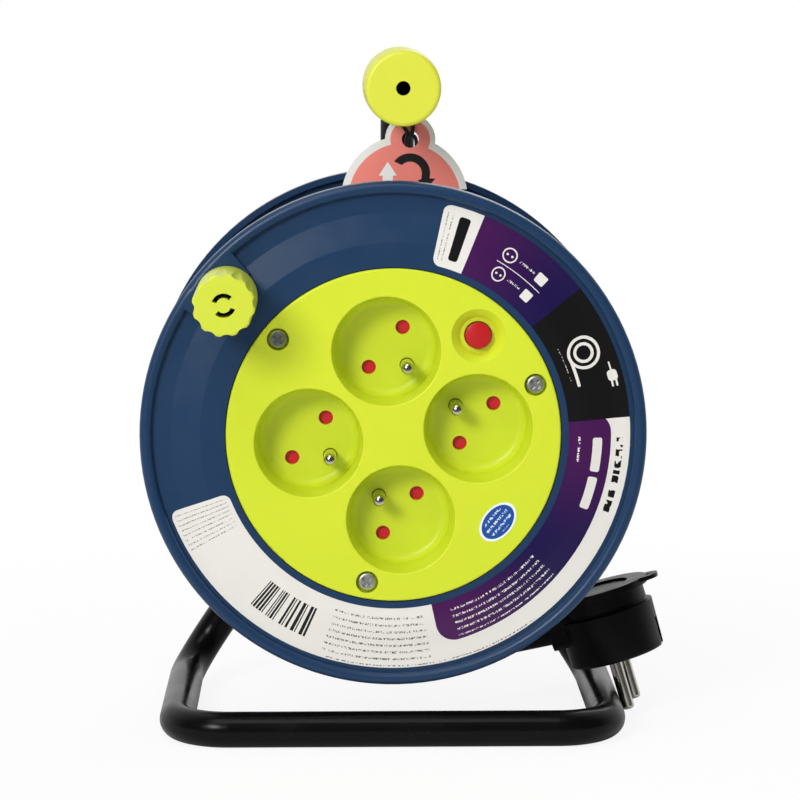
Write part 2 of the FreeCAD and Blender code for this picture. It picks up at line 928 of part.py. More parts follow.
def breaker_body():
    """The cut-out's case, with the hole and pocket of its reset button."""
    case = block(button_reach - breaker_height / 2, button_reach + breaker_height / 2, breaker_front,
                 breaker_back, -breaker_width / 2, breaker_width / 2)
    upright = [e for e in case.Edges if e.BoundBox.YLength > breaker_depth - fit_gap]
    case = case.makeFillet(breaker_edge_round, upright)
    pocket_front = breaker_front + breaker_front_wall
    return without(case, [
        disc(button_radius + button_gap, breaker_front - over, pocket_front + over, button_reach, 0),
        disc(button_collar_radius + running_gap, pocket_front, spring_back, button_reach, 0),
    ])


def reset_button():
    """The button: domed head, stem, a collar that stops it and a spigot for its spring."""
    head_front = dish_floor - button_rise
    spigot = reset_spring_radius - 2 * reset_spring_wire - running_gap
    face = outline(
        (0, head_front - button_dome),
        ((button_radius - button_dome_shoulder, head_front - 0.7 * button_dome), (button_radius, head_front)),
        (button_radius, collar_front),
        (button_collar_radius, collar_front),
        (button_collar_radius, spring_front),
        (spigot, spring_front),
        (spigot, spring_front + button_spigot_length),
        (0, spring_front + button_spigot_length),
    )
    return revolved(face, button_reach, 0)


def reset_spring():
    """The button's return spring, between its collar and the pocket's floor."""
    length = spring_back - spring_front - 2 * running_gap - 2 * reset_spring_wire
    start = spring_front + running_gap + reset_spring_wire
    coil_radius = reset_spring_radius - reset_spring_wire
    pitch = length / reset_spring_turns
    path, direction = wound_path(coil_radius, pitch, start, 0.0, reset_spring_turns, 0.0)
    first = path.Vertexes[0].Point
    spring = tube_on(path, reset_spring_wire, first, direction)
    return spring.translated(point(button_reach, 0, 0))


def breaker_terminals():
    """Two flat terminals behind the case."""
    tabs = []
    for side in (-1, 1):
        u = button_reach + side * terminal_spacing / 2
        tab = block(u - terminal_thickness / 2, u + terminal_thickness / 2, breaker_back,
                    breaker_back + terminal_length, -terminal_width / 2, terminal_width / 2)
        hole_start = point(u - terminal_width / 2, breaker_back + terminal_length - terminal_hole_end, 0)
        hole = Part.makeCylinder(terminal_hole_radius, terminal_width, hole_start, point(1, 0, 0))
        tabs.append(without(tab, [hole]))
    return group(tabs)


# Shutters and contacts

def shutter(u, v):
    """One sliding shutter behind a socket's floor, with ramps facing the pins."""
    front = socket_back + shutter_gap
    rear = front + shutter_thickness
    body = block(u - shutter_half_length, u + shutter_half_length, front, rear,
                 v - shutter_half_width, v + shutter_half_width)
    inner = [e for e in body.Edges if e.BoundBox.XLength > 1 and abs(e.CenterOfMass.y - front) < 1e-4
             and (e.CenterOfMass.z - v) * math.copysign(1, v) < 0]
    return body.makeChamfer(shutter_ramp, inner)


def contact_base():
    """The moulded carrier behind the sockets: shutter tracks in front, posts for the bars behind."""
    parts = [disc(base_radius, socket_back, base_back, u, v) for u, v in sockets]
    parts.append(block(-socket_offset, socket_offset, socket_back, base_back, -socket_offset, socket_offset))
    arm = live_post_reach + bar_post_radius + post_margin
    parts.append(block(-arm, arm, socket_back, base_back, -base_lug_radius, base_lug_radius))
    cuts = []
    for side in (-1, 1):
        lug = side * base_lug_reach
        parts.append(disc(base_lug_radius, socket_back, base_back, 0, lug))
        parts.append(block(-base_lug_radius, base_lug_radius, socket_back, base_back,
                           min(0, lug), max(0, lug)))
        cuts.append(disc(base_screw_radius + fit_gap, socket_back - over, base_back + over, 0, lug))
    posts = []
    for side in (-1, 1):
        posts.append((side * live_post_reach, 0, live_bar_level))
        posts.append((side * neutral_post_place[0], side * neutral_post_place[1], neutral_bar_level))
    for u, v, level in posts:
        parts.append(disc(bar_post_radius, base_back - over, level, u, v))
        parts.append(disc(stake_radius, level - over, level + bar_thickness + stake_height, u, v))
    track_back = socket_back + shutter_thickness + 2 * shutter_gap
    for u, v in sockets:
        outward = math.copysign(1, v)
        inner_edge = v - outward * (shutter_half_width + running_gap)
        outer_edge = v + outward * (shutter_half_width + shutter_travel + running_gap)
        half = shutter_half_length + running_gap
        cuts.append(block(u - half, u + half, socket_back - over, track_back,
                          min(inner_edge, outer_edge), max(inner_edge, outer_edge)))
        eu, ev = earth_place(u, v)
        cuts.append(disc(pin_radius + pin_gap, socket_back - over, base_back + over, eu, ev))
        for cu, cv in contact_places(u, v):
            cuts.append(disc(contact_hole_radius + pin_gap, socket_back, base_back + over, cu, cv))
    return without(joined(parts), cuts)


def base_screws():
    screws = []
    for side in (-1, 1):
        screws.append(screw(base_screw_head_radius, base_screw_head_height, base_screw_radius,
                            base_screw_length, base_back, 0, side * base_lug_reach, -1))
    return group(screws)


def contact_clip(u, v):
    """Two spring blades that grip a plug's pin."""
    inner = pin_radius
    outer = inner + clip_thickness
    half = clip_width / 2
    return [
        block(u - outer, u - inner, clip_front, clip_back, v - half, v + half),
        block(u + inner, u + outer, clip_front, clip_back, v - half, v + half),
    ]


def supply_bar(level, side):
    """A stamped bar with a spine and a branch to one contact of each socket."""
    reach = socket_offset + contact_spacing / 2
    near = socket_offset - contact_spacing / 2
    half = bar_width / 2
    places = [(side * reach, socket_offset), (-side * near, socket_offset),
              (-side * reach, -socket_offset), (side * near, -socket_offset)]
    parts = [block(-reach - half, reach + half, level, level + bar_thickness, -half, half)]
    cuts = []
    for u, v in places:
        parts.append(block(u - half, u + half, level, level + bar_thickness,
                           min(0, v) - half, max(0, v) + half))
        parts += contact_clip(u, v)
        cuts.append(disc(pin_radius, level - over, level + bar_thickness + over, u, v))
    return parts, cuts


def live_bar():
    parts, cuts = supply_bar(live_bar_level, 1)
    for side in (-1, 1):
        cuts.append(disc(stake_radius + fit_gap, live_bar_level - over, live_bar_level + bar_thickness + over,
                         side * live_post_reach, 0))
    return without(joined(parts), cuts)


def neutral_bar():
    parts, cuts = supply_bar(neutral_bar_level, -1)
    for side in (-1, 1):
        u, v = side * neutral_post_place[0], side * neutral_post_place[1]
        cuts.append(disc(stake_radius + fit_gap, neutral_bar_level - over,
                         neutral_bar_level + bar_thickness + over, u, v))
    return without(joined(parts), cuts)


def earth_bar():
    """The bar behind the contact base that the earth pins are riveted to."""
    half = bar_width / 2
    reach = socket_offset - earth_offset
    front = base_back
    rear = base_back + bar_thickness
    parts = [block(-socket_offset, socket_offset, front, rear, -half, half)]
    cuts = []
    for side in (-1, 1):
        u = side * socket_offset
        parts.append(block(u - half, u + half, front, rear, -reach - half, reach + half))
        for end in (-1, 1):
            cuts.append(disc(rivet_radius + fit_gap, front - over, rear + over, u, end * reach))
    return without(joined(parts), cuts)


def earth_pins():
    """Round-ended pins, each riveted through the earth bar."""
    tip = socket_floor_face - earth_pin_length
    rear = base_back + bar_thickness
    root = socket_floor_face - pin_root_step
    nose = pin_radius * math.sqrt(0.5)
    pins = []
    for u, v in sockets:
        eu, ev = earth_place(u, v)
        face = outline(
            (0, tip),
            ((nose, tip + pin_radius - nose), (pin_radius, tip + pin_radius)),
            (pin_radius, root),
            (pin_root_radius, root),
            (pin_root_radius, base_back),
            (rivet_radius, base_back),
            (rivet_radius, rear),
            (rivet_head_radius, rear),
            (rivet_head_radius, rear + rivet_head_height),
            (0, rear + rivet_head_height),
        )
        pins.append(revolved(face, eu, ev))
    return group(pins)


# Cable

def helix_point(radius, pitch, first, start_angle, angle):
    """A place and direction on a winding that runs anticlockwise as it goes back."""
    a = math.radians(angle)
    depth = first + pitch * (angle - start_angle) / 360
    place = point(radius * math.cos(a), depth, radius * math.sin(a))
    direction = point(-radius * math.sin(a), pitch / (2 * math.pi), radius * math.cos(a))
    return place, direction.normalize()


def arc_from(start, direction, end):
    """The arc that leaves a point in a direction and reaches another point."""
    chord = end - start
    along = point(chord).normalize()
    sideways = (direction - along * direction.dot(along)).normalize()
    rise = chord.Length / 2 * math.tan(direction.getAngle(chord) / 2)
    return Part.Arc(start, start + chord * 0.5 + sideways * rise, end)


def biarc(start, start_direction, end, end_direction):
    """Two arcs that join two places and keep their directions."""
    chord = end - start
    total = start_direction + end_direction
    closing = 2 * (1 - start_direction.dot(end_direction))
    slope = chord.dot(total)
    reach = (math.sqrt(slope * slope + closing * chord.dot(chord)) - slope) / closing
    middle = (start + end + (start_direction - end_direction) * reach) * 0.5
    first = arc_from(start, start_direction, middle)
    second = arc_from(end, -end_direction, middle)
    halfway = second.value((second.FirstParameter + second.LastParameter) / 2)
    return [first.toShape(), Part.Arc(middle, halfway, end).toShape()]


def wound_path(radius, pitch, first, end_angle, turns, straight):
    """A winding made of half-turn biarcs, with straight ends, and its starting direction."""
    start_angle = end_angle - 360 * turns
    halves = round(2 * turns)
    edges = []
    place, direction = helix_point(radius, pitch, first, start_angle, start_angle)
    leaving = direction
    if straight:
        edges.append(Part.LineSegment(place - direction * straight, place).toShape())
    for i in range(1, halves + 1):
        angle = start_angle + 180 * i
        there, heading = helix_point(radius, pitch, first, start_angle, angle)
        edges += biarc(place, direction, there, heading)
        place, direction = there, heading
    if straight:
        edges.append(Part.LineSegment(place, place + direction * straight).toShape())
    return Part.Wire(edges), leaving


def least_self_gap(path, radius, far):
    """The least gap between stretches of a wound tube that are a way apart along it."""
    points = []
    for edge in path.Edges:
        points += edge.discretize(Distance=radius * 1.2)[:-1]
    step = path.Length / len(points)
    skip = int(far / step)
    least = min((points[i] - points[j]).Length for i in range(len(points))
                for j in range(i + skip, len(points)))
    return least - 2 * radius


def outer_layer():
    """The cable's outer layer, wound as one tube."""
    path, direction = wound_path(winding_radius, winding_pitch, winding_first, winding_end_angle,
                                 winding_turns, 2 * cable_radius)
    start = path.Vertexes[0].Point
    tube = tube_on(path, cable_radius, start, direction)
    gap = least_self_gap(path, cable_radius, winding_radius * 2)
    section = math.pi * cable_radius ** 2
    print("outer layer: length %.0f, least gap %.2f, volume ratio %.4f"
          % (path.Length, gap, tube.Volume / (section * path.Length)))
    return tube


def cable_core():
    """The layers of cable below the outer one, as a plain ring on the barrel."""
    front = face_level + web_thickness + barrel_foot + core_gap
    ring = disc(core_radius, front, drum_depth - front)
    return without(ring, [disc(barrel_radius + fit_gap, front - over, drum_depth)])


def tail_points():
    """The free end of the cable: off the winding, under the drum and up to the plug."""
    first_angle = winding_end_angle + tail_first_step
    corner_radius = tail_radius / math.cos(math.radians(tail_step_angle / 2))
    corners = []
    for i, depth in enumerate(tail_depths):
        x, z = at_angle(corner_radius, first_angle + tail_step_angle * (i + 0.5))
        corners.append(point(x, depth, z))
    touch_x, touch_z = at_angle(tail_radius, first_angle)
    backwards = (point(touch_x, tail_start_depth, touch_z) - corners[0]).normalize()
    start = corners[0] + backwards * tail_start_length
    entry, leaving = plug_entry()
    return [start] + corners + [entry + leaving * tail_lead_length, entry]


def cable_tail():
    points = tail_points()
    radii = bend_radii(points)
    path = bent_path(points, radii)
    tube = tube_on(path, cable_radius, points[0], points[1] - points[0])
    section = math.pi * cable_radius ** 2
    print("cable tail: length %.0f, radii %s, volume ratio %.4f"
          % (path.Length, [round(r) for r in radii], tube.Volume / (section * path.Length)))
    return tube


def cable_inner_end():
    """The cable's inner end, through the barrel's wall and under its clamp."""
    outer_end = math.sqrt(barrel_radius ** 2 - cable_radius ** 2)
    start = point(-outer_end, inlet_depth, 0)
    return Part.makeCylinder(cable_radius, outer_end - inlet_inner_end, start, point(1, 0, 0))


def cable_clamp():
    half = clamp_length / 2
    reach = clamp_screw_spacing / 2 + clamp_overhang
    rear = inlet_depth - cable_radius
    bar = block(-clamp_reach - half, -clamp_reach + half, rear - clamp_thickness, rear, -reach, reach)
    corners = [e for e in bar.Edges if abs(e.BoundBox.YLength - clamp_thickness) < 1e-4
               and e.BoundBox.XLength < 1e-4]
    bar = bar.makeFillet(clamp_corner, corners)
    holes = [disc(clamp_screw_radius + fit_gap, rear - clamp_thickness - over, rear + over, -clamp_reach,
                  side * clamp_screw_spacing / 2) for side in (-1, 1)]
    return without(bar, holes)


def clamp_screws():
    seat = inlet_depth - cable_radius - clamp_thickness
    screws = []
    for side in (-1, 1):
        screws.append(screw(clamp_screw_head_radius, clamp_screw_head_height, clamp_screw_radius,
                            clamp_screw_length, seat, -clamp_reach, side * clamp_screw_spacing / 2))
    return group(screws)


# Plug, drawn with its pins pointing down from its own origin and its cord leaving to the left

def hung(shape):
    """Puts a piece of the plug where it hangs beside the stand."""
    placed = shape.rotated(origin, point(0, 0, 1), -plug_yaw)
    placed = placed.rotated(origin, point(1, 0, 0), -plug_lean)
    placed = placed.rotated(origin, -back, plug_tilt)
    return placed.translated(point(plug_x, plug_y, plug_z))


def plug_entry():
    """Where the cord meets the strain relief, and the way it leads away from it."""
    reach = exit_reach + relief_length
    marks = [hung(Part.Vertex(point(-reach - out, 0, exit_height))).Point for out in (0, 1)]
    return marks[0], marks[1] - marks[0]


def turned_up(face):
    """An outline of (radius, height) turned round the plug's own upright axis."""
    upright = face.rotated(origin, point(1, 0, 0), 90)
    return upright.revolve(origin, point(0, 0, 1), 360)


def plug_body():
    """The moulded body: round barrel, grooved collar and the block where the cord leaves."""
    barrel = turned_up(outline(
        (0, 0),
        (plug_radius, 0),
        (plug_radius + plug_draft, plug_height),
        (collar_radius - collar_groove, plug_height),
        (collar_radius - collar_groove, plug_height + collar_groove_height),
        (collar_radius, plug_height + collar_groove_height),
        (collar_radius, plug_top),
        (0, plug_top),
    ))
    low_edges = [e for e in barrel.Edges if isinstance(e.Curve, Part.Circle)
                 and abs(e.Curve.Center.z) < 1e-4]
    barrel = barrel.makeFillet(plug_edge_round, low_edges)
    low = exit_height - exit_half_height
    high = min(exit_height + exit_half_height, plug_top)
    housing = Part.makeBox(exit_reach - exit_sink, 2 * exit_half_width, high - low,
                           point(-exit_reach, -exit_half_width, low))
    long_edges = [e for e in housing.Edges if e.BoundBox.XLength > 1]
    housing = housing.makeFillet(exit_round, long_edges)
    body = joined([barrel, housing])
    cuts = []
    for side in (-1, 1):
        y = side * plug_pin_spacing / 2
        depth = pin_socket_depth + over + fit_gap
        cuts.append(Part.makeCylinder(pin_radius + fit_gap, depth, point(0, y, -over)))
        clip_corner = point(-over, -earth_clip_width / 2 - fit_gap, -fit_gap)
        clip = Part.makeBox(earth_clip_thickness + 2 * over, earth_clip_width + 2 * fit_gap,
                            earth_clip_height + fit_gap, clip_corner)
        cuts.append(clip.translated(point(side * plug_radius - earth_clip_thickness / 2, 0, 0)))
    return without(body, cuts)


def plug_pins():
    pins = []
    for side in (-1, 1):
        y = side * plug_pin_spacing / 2
        pin = Part.makeCylinder(pin_radius, plug_pin_length + pin_socket_depth, point(0, y, -plug_pin_length))
        tip = [e for e in pin.Edges if isinstance(e.Curve, Part.Circle)
               and abs(e.Curve.Center.z + plug_pin_length) < 1e-4]
        pins.append(pin.makeFillet(pin_end_round, tip))
    return group(pins)


def plug_earth_clips():
    """Spring strips at both sides of the pin face."""
    clips = []
    for side in (-1, 1):
        inner = plug_radius - earth_clip_thickness / 2 - earth_clip_sink
        strip = Part.makeBox(earth_clip_thickness, earth_clip_width, earth_clip_height - fit_gap,
                             point(inner, -earth_clip_width / 2, 0))
        if side < 0:
            strip = strip.mirror(origin, point(1, 0, 0))
        clips.append(strip)
    return group(clips)


def plug_lid():
    """The flat lid with a pull lip and a shallow round dish."""
    base = plug_top + lid_gap
    top = base + lid_thickness
    cover = Part.makeCylinder(lid_radius, lid_thickness, point(0, 0, base))
    lip = Part.makeBox(lip_reach, 2 * lip_half_width, lip_thickness,
                       point(0, -lip_half_width, top - lip_thickness))
    tips = [e for e in lip.Edges if e.BoundBox.ZLength > 1 and e.CenterOfMass.x > 1]
    lip = lip.makeFillet(lip_corner, tips)
    cover = joined([cover, lip])
    dish = Part.makeCylinder(lid_dish_radius, lid_thickness, point(0, 0, top - lid_dish_depth))
    side = lip_hole_side / 2
    hole_face = outline((lip_hole_reach - side, -side), (lip_hole_reach + side, 0),
                        (lip_hole_reach - side, side))
    hole = hole_face.translated(point(0, 0, base - over)).extrude(point(0, 0, lid_thickness + 2 * over))
    return without(cover, [dish, hole])


def plug_strain_relief():
    """The tapered sleeve where the cord leaves the plug."""
    start = point(-exit_reach, 0, exit_height)
    return Part.makeCone(relief_radius, relief_end_radius, relief_length, start, point(-1, 0, 0))


# Tag

def hang_tag():
    """The card: a half disc with a round ear and a hole for its string."""
    cx, cz = tag_centre
    drop = tag_bottom - cz
    half = math.sqrt(tag_radius ** 2 - drop ** 2)
    rear = tag_depth + tag_thickness
    card = plate(outline((cx - half, tag_bottom), (cx + half, tag_bottom),
                         ((cx, cz + tag_radius), (cx - half, tag_bottom))), tag_depth, rear)
    ear = disc(ear_radius, tag_depth, rear, *ear_centre)
    hole = disc(ear_hole_radius, tag_depth - over, rear + over, *ear_centre)
    return without(joined([card, ear]), [hole])


def tag_string():
    """The string: a loop round the tube and two strands that meet through the card's hole."""
    loop_radius = tube_radius + running_gap + string_radius
    front = tag_depth - string_radius - running_gap
    rear = tag_depth + tag_thickness + string_radius + running_gap
    low = grip_height - loop_radius * math.cos(math.asin(string_spread / loop_radius))
    eye = ear_centre[1] + ear_hole_radius - string_radius - string_slack
    half = string_spread / 2
    corners = [
        point(riser_offset - string_spread, front, low),
        point(ear_centre[0] - half, front, eye),
        point(ear_centre[0] - half, rear, eye),
        point(ear_centre[0] + half, rear, eye),
        point(ear_centre[0] + half, front, eye),
        point(riser_offset + string_spread, front, low),
    ]
    tight = half - 0.4 * fit_gap
    path = bent_path(corners, [tight, tight, tight, tight])
    strands = tube_on(path, string_radius - fit_gap, corners[0], corners[1] - corners[0])
    loop = Part.makeTorus(loop_radius, string_radius, point(riser_offset, front, grip_height), back)
    return joined([loop, strands])


def save(name, shape):
    """Stands the piece on the floor, in the middle of the depth, and writes its file."""
    placed = shape.translated(point(0, -model_middle, axle_height))
    placed.exportStep(os.path.join("parts", name + ".step"))
    solids = len(placed.Solids)
    print("%-20s solids %d, valid %s, volume %.0f" % (name, solids, placed.isValid(), placed.Volume))


def main():
    os.makedirs("parts", exist_ok=True)
    tube = stand_tube()
    hub = hub_plate()
    fixed = {
        "stand_tube": tube,
        "hub_plate": hub,
        "hub_welds": hub_welds(tube, hub),
        "axle": axle(),
        "axle_screw": axle_screw(),
        "retaining_washer": retaining_washer(),
        "thrust_washer": thrust_washer(),
        "handle_grip": handle_grip(),
        "hang_tag": hang_tag(),
        "tag_string": tag_string(),
        "cable_tail": cable_tail(),
        "cable_outer_layer": outer_layer(),
        "cable_core": cable_core(),
    }
    plug = {
        "plug_body": plug_body(),
        "plug_lid": plug_lid(),
        "plug_pins": plug_pins(),
        "plug_earth_clips": plug_earth_clips(),
        "plug_strain_relief": plug_strain_relief(),
    }
    turning = {
        "drum_front": drum_front(),
        "drum_rear": drum_rear(),
        "drum_screws": drum_screws(),
        "hub_bush": hub_bush(),
        "socket_panel": socket_panel(),
        "panel_screws": panel_screws(),
        "breaker_body": breaker_body(),
        "breaker_terminals": breaker_terminals(),
        "reset_button": reset_button(),
        "reset_spring": reset_spring(),
        "contact_base": contact_base(),
        "base_screws": base_screws(),
        "live_bar": live_bar(),
        "neutral_bar": neutral_bar(),
        "earth_bar": earth_bar(),
        "earth_pins": earth_pins(),
        "cable_inner_end": cable_inner_end(),
        "cable_clamp": cable_clamp(),
        "clamp_screws": clamp_screws(),
        "winding_knob": winding_knob(),
    }
    for number, (u, v) in enumerate(sockets, 1):
        turning["socket_cup_%d" % number] = socket_cup(u, v)
        turning["shutter_%d" % number] = shutter(u, v)
    for name, shape in fixed.items():
        save(name, shape)
    for name, shape in plug.items():
        save(name, hung(shape))
    for name, shape in turning.items():
        save(name, spun(shape, drum_turn))


main()
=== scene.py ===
import bpy
import math
from bpy.props import FloatProperty, FloatVectorProperty, IntProperty, PointerProperty
from mathutils import Matrix, Vector


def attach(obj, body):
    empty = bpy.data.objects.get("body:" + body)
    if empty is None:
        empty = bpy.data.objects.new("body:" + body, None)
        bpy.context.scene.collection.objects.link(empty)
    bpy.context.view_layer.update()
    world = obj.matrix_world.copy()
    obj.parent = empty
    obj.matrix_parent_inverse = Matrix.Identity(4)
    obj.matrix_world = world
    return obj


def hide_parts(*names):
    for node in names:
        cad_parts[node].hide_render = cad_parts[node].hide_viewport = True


# Looks of an extension cord reel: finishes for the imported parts, the wound cable and its free end,
# the printed label and seal on the drum, the hanging tag's print and string, and a plain studio.
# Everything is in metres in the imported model's frame: +Z up, the sockets face -Y.

bl_info = {
    "name": "Extension cord reel",
    "version": (1, 0, 0),
    "blender": (4, 5, 0),
    "location": "3D View > Sidebar > Reel",
    "description": "Dresses the packed model of an extension cord reel and lights it",
    "category": "Object",
}

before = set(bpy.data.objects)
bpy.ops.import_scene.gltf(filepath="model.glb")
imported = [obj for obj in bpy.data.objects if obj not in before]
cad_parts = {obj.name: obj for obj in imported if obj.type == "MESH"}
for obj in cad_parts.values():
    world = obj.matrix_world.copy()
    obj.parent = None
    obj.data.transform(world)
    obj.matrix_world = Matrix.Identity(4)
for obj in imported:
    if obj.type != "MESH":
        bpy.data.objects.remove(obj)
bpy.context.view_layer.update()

# Places that several pieces share, in metres
AXIS = Vector((0.0, 0.0, 0.1135))
FRONT = -0.0425
DEPTH = Vector((0.0, 1.0, 0.0))

# The hanging tag, in millimetres from the drum's axis and front: its two round parts, the radius
# of the print on each, and the grip that its string hangs behind
TAG_CENTRE = (5.8, 88.0, 79.5)
EAR_CENTRE = (8.0, 88.0, 102.3)
TAG_PRINT = 21.4
EAR_PRINT = 7.6
GRIP_CENTRE = (3.5, 123.9)

# The winding: the middle radius of its three layers from the inside out, the depths that the two
# lower ones and the start of the top one keep to, and the top one's pitch, all in millimetres; the
# turns of each, and the angle in degrees where the top one ends
LAYER_RADII = (61.6, 68.65, 75.75)
LOWER_FRONT, LOWER_REAR, TOP_FRONT = 10.3, 87.7, 9.5
TOP_PITCH = 7.46
LOWER_TURNS, TOP_TURNS = 11.5, 10.5
TOP_END = -155.0

# The radius in millimetres along which the label's print is measured
PRINT_RADIUS = 74.0

# Route points of the cable's free end, in metres, from the winding to the plug's strain relief
FREE_END = (
    (-0.0757, 0.0432, 0.0784),
    (-0.0686, 0.0410, 0.0637),
    (-0.0474, 0.0345, 0.0432),
    (-0.0205, 0.0255, 0.0313),
    (0.0155, 0.0292, 0.0160),
    (0.0435, 0.0230, 0.0247),
)


# Small helpers

def linear(code):
    """An sRGB hex colour as the linear colour that a shader takes."""
    channels = []
    for i in (1, 3, 5):
        c = int(code[i:i + 2], 16) / 255
        channels.append(c / 12.92 if c <= 0.04045 else ((c + 0.055) / 1.055) ** 2.4)
    return (*channels, 1.0)


def add(tree, kind, inputs=None, **settings):
    """Adds a node, sets its options, then fills its sockets with values or other nodes' outputs."""
    node = tree.nodes.new("ShaderNode" + kind)
    for key, value in settings.items():
        setattr(node, key, value)
    for key, value in (inputs or {}).items():
        socket = node.inputs[key]
        if isinstance(value, bpy.types.NodeSocket):
            tree.links.new(value, socket)
        else:
            socket.default_value = value
    return node


def new_material(name):
    """A material that holds a shader and its output."""
    material = bpy.data.materials.new(name)
    material.use_nodes = True
    tree = material.node_tree
    tree.nodes.clear()
    shader = add(tree, "BsdfPrincipled")
    add(tree, "OutputMaterial", {"Surface": shader.outputs["BSDF"]})
    return material, tree, shader


def deselect():
    """Leaves edit mode and clears the selection."""
    if bpy.context.object and bpy.context.object.mode != "OBJECT":
        bpy.ops.object.mode_set(mode="OBJECT")
    bpy.ops.object.select_all(action="DESELECT")


def at_depth(x, depth, height):
    """A place given in millimetres from the drum's axis and front, in the model's frame."""
    return Vector((x / 1000, FRONT + depth / 1000, AXIS.z + height / 1000))


def round_axis(radius, depth, angle):
    """A place round the drum's axis; the angle is anticlockwise from the right, in degrees."""
    a = math.radians(angle)
    return at_depth(radius * math.cos(a), depth, radius * math.sin(a))


def draw_line(name, points):
    """Draws a line in edit mode: a plane merged to one corner, then extruded from point to point."""
    deselect()
    bpy.ops.mesh.primitive_plane_add(size=0.001, location=points[0], calc_uvs=False)
    piece = bpy.context.object
    piece.name = piece.data.name = name
    bpy.ops.object.mode_set(mode="EDIT")
    bpy.ops.mesh.select_mode(type="VERT")
    bpy.ops.mesh.select_all(action="SELECT")
    bpy.ops.mesh.merge(type="CENTER")
    for before, after in zip(points, points[1:]):
        step = Vector(after) - Vector(before)
        bpy.ops.mesh.extrude_region_move(TRANSFORM_OT_translate={"value": step})
    return piece


def close_piece(piece, smooth_angle=None):
    """Leaves edit mode, puts the piece's place into its mesh and smooths it."""
    bpy.ops.object.mode_set(mode="OBJECT")
    bpy.ops.object.transform_apply(location=True, rotation=True, scale=True)
    if smooth_angle:
        bpy.ops.object.shade_smooth_by_angle(angle=math.radians(smooth_angle))
    return piece


def flat_piece(name, corners, depth, thickness):
    """A thin flat piece facing the front, from the corners (x, height) of its outline in mm."""
    points = [at_depth(x, depth, height) for x, height in corners]
    piece = draw_line(name, points)
    bpy.ops.mesh.select_all(action="SELECT")
    bpy.ops.mesh.edge_face_add()
    bpy.ops.mesh.extrude_region_move(TRANSFORM_OT_translate={"value": DEPTH * -thickness / 1000})
    bpy.ops.mesh.select_all(action="SELECT")
    bpy.ops.mesh.normals_make_consistent(inside=False)
    return close_piece(piece)


def finish(piece, material, body):
    """Gives a new piece its finish and the body that it rides on."""
    piece.data.materials.clear()
    piece.data.materials.append(material)
    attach(piece, body)


def dress(nodes, material):
    """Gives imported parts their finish."""
    for node in nodes:
        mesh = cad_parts[node].data
        mesh.materials.clear()
        mesh.materials.append(material)


# Finishes

def moulded_plastic(name, colour, roughness, grain, relief, flow=0.06, edge=0.25, shine=0.5):
    """Injection-moulded plastic: an even spark-eroded grain, with slow shade changes from the flow.

    grain and relief are the width and height of the grain, and edge is the corners' rounding, in mm.
    shine is the share of light that the surface mirrors, where 0.5 is a clean smooth plastic.
    """
    material, tree, shader = new_material(name)
    place = add(tree, "TexCoord").outputs["Object"]
    slow = add(tree, "TexNoise", {"Vector": place, "Scale": 22.0, "Detail": 2.0})
    patches = add(tree, "TexNoise", {"Vector": place, "Scale": 140.0, "Detail": 4.0})
    fine = add(tree, "TexNoise", {"Vector": place, "Scale": 1000.0 / grain, "Detail": 3.0})
    pale = linear(colour)
    deep = tuple(c * (1 - flow) for c in pale[:3]) + (1.0,)
    tint = add(tree, "Mix", {0: slow.outputs["Fac"], 6: deep, 7: pale}, data_type="RGBA")
    sheen = add(tree, "MapRange", {"Value": patches.outputs["Fac"], "From Min": 0.3, "From Max": 0.7,
                                   "To Min": roughness - 0.04, "To Max": roughness + 0.05})
    corner = add(tree, "Bevel", {"Radius": edge / 1000}, samples=4)
    bump = add(tree, "Bump", {"Strength": 0.5, "Distance": relief / 1000, "Height": fine.outputs["Fac"],
                              "Normal": corner.outputs["Normal"]})
    tree.links.new(tint.outputs[2], shader.inputs["Base Color"])
    tree.links.new(sheen.outputs["Result"], shader.inputs["Roughness"])
    tree.links.new(bump.outputs["Normal"], shader.inputs["Normal"])
    shader.inputs["Specular IOR Level"].default_value = shine
    return material


def metal(name, colour, roughness, grain, stretch=(1.0, 1.0, 1.0), dull=0.12):
    """A bare or plated metal: drawing or plating marks, and patches that are slightly duller.

    grain is the width of the marks in mm, stretch draws them out along an axis, and dull is how much
    the roughness varies along them.
    """
    material, tree, shader = new_material(name)
    place = add(tree, "TexCoord").outputs["Object"]
    along = add(tree, "Mapping", {"Vector": place, "Scale": stretch})
    marks = add(tree, "TexNoise", {"Vector": along.outputs["Vector"], "Scale": 1000.0 / grain,
                                   "Detail": 4.0})
    patches = add(tree, "TexNoise", {"Vector": place, "Scale": 220.0, "Detail": 3.0})
    bright = linear(colour)
    dark = tuple(c * 0.8 for c in bright[:3]) + (1.0,)
    tint = add(tree, "Mix", {0: patches.outputs["Fac"], 6: dark, 7: bright}, data_type="RGBA")
    sheen = add(tree, "MapRange", {"Value": marks.outputs["Fac"], "From Min": 0.3, "From Max": 0.7,
                                   "To Min": roughness, "To Max": roughness + dull})
    corner = add(tree, "Bevel", {"Radius": 0.0001}, samples=4)
    bump = add(tree, "Bump", {"Strength": 0.25, "Distance": 0.00003, "Height": marks.outputs["Fac"],
                              "Normal": corner.outputs["Normal"]})
    tree.links.new(tint.outputs[2], shader.inputs["Base Color"])
    tree.links.new(sheen.outputs["Result"], shader.inputs["Roughness"])
    tree.links.new(bump.outputs["Normal"], shader.inputs["Normal"])
    shader.inputs["Metallic"].default_value = 1.0
    return material


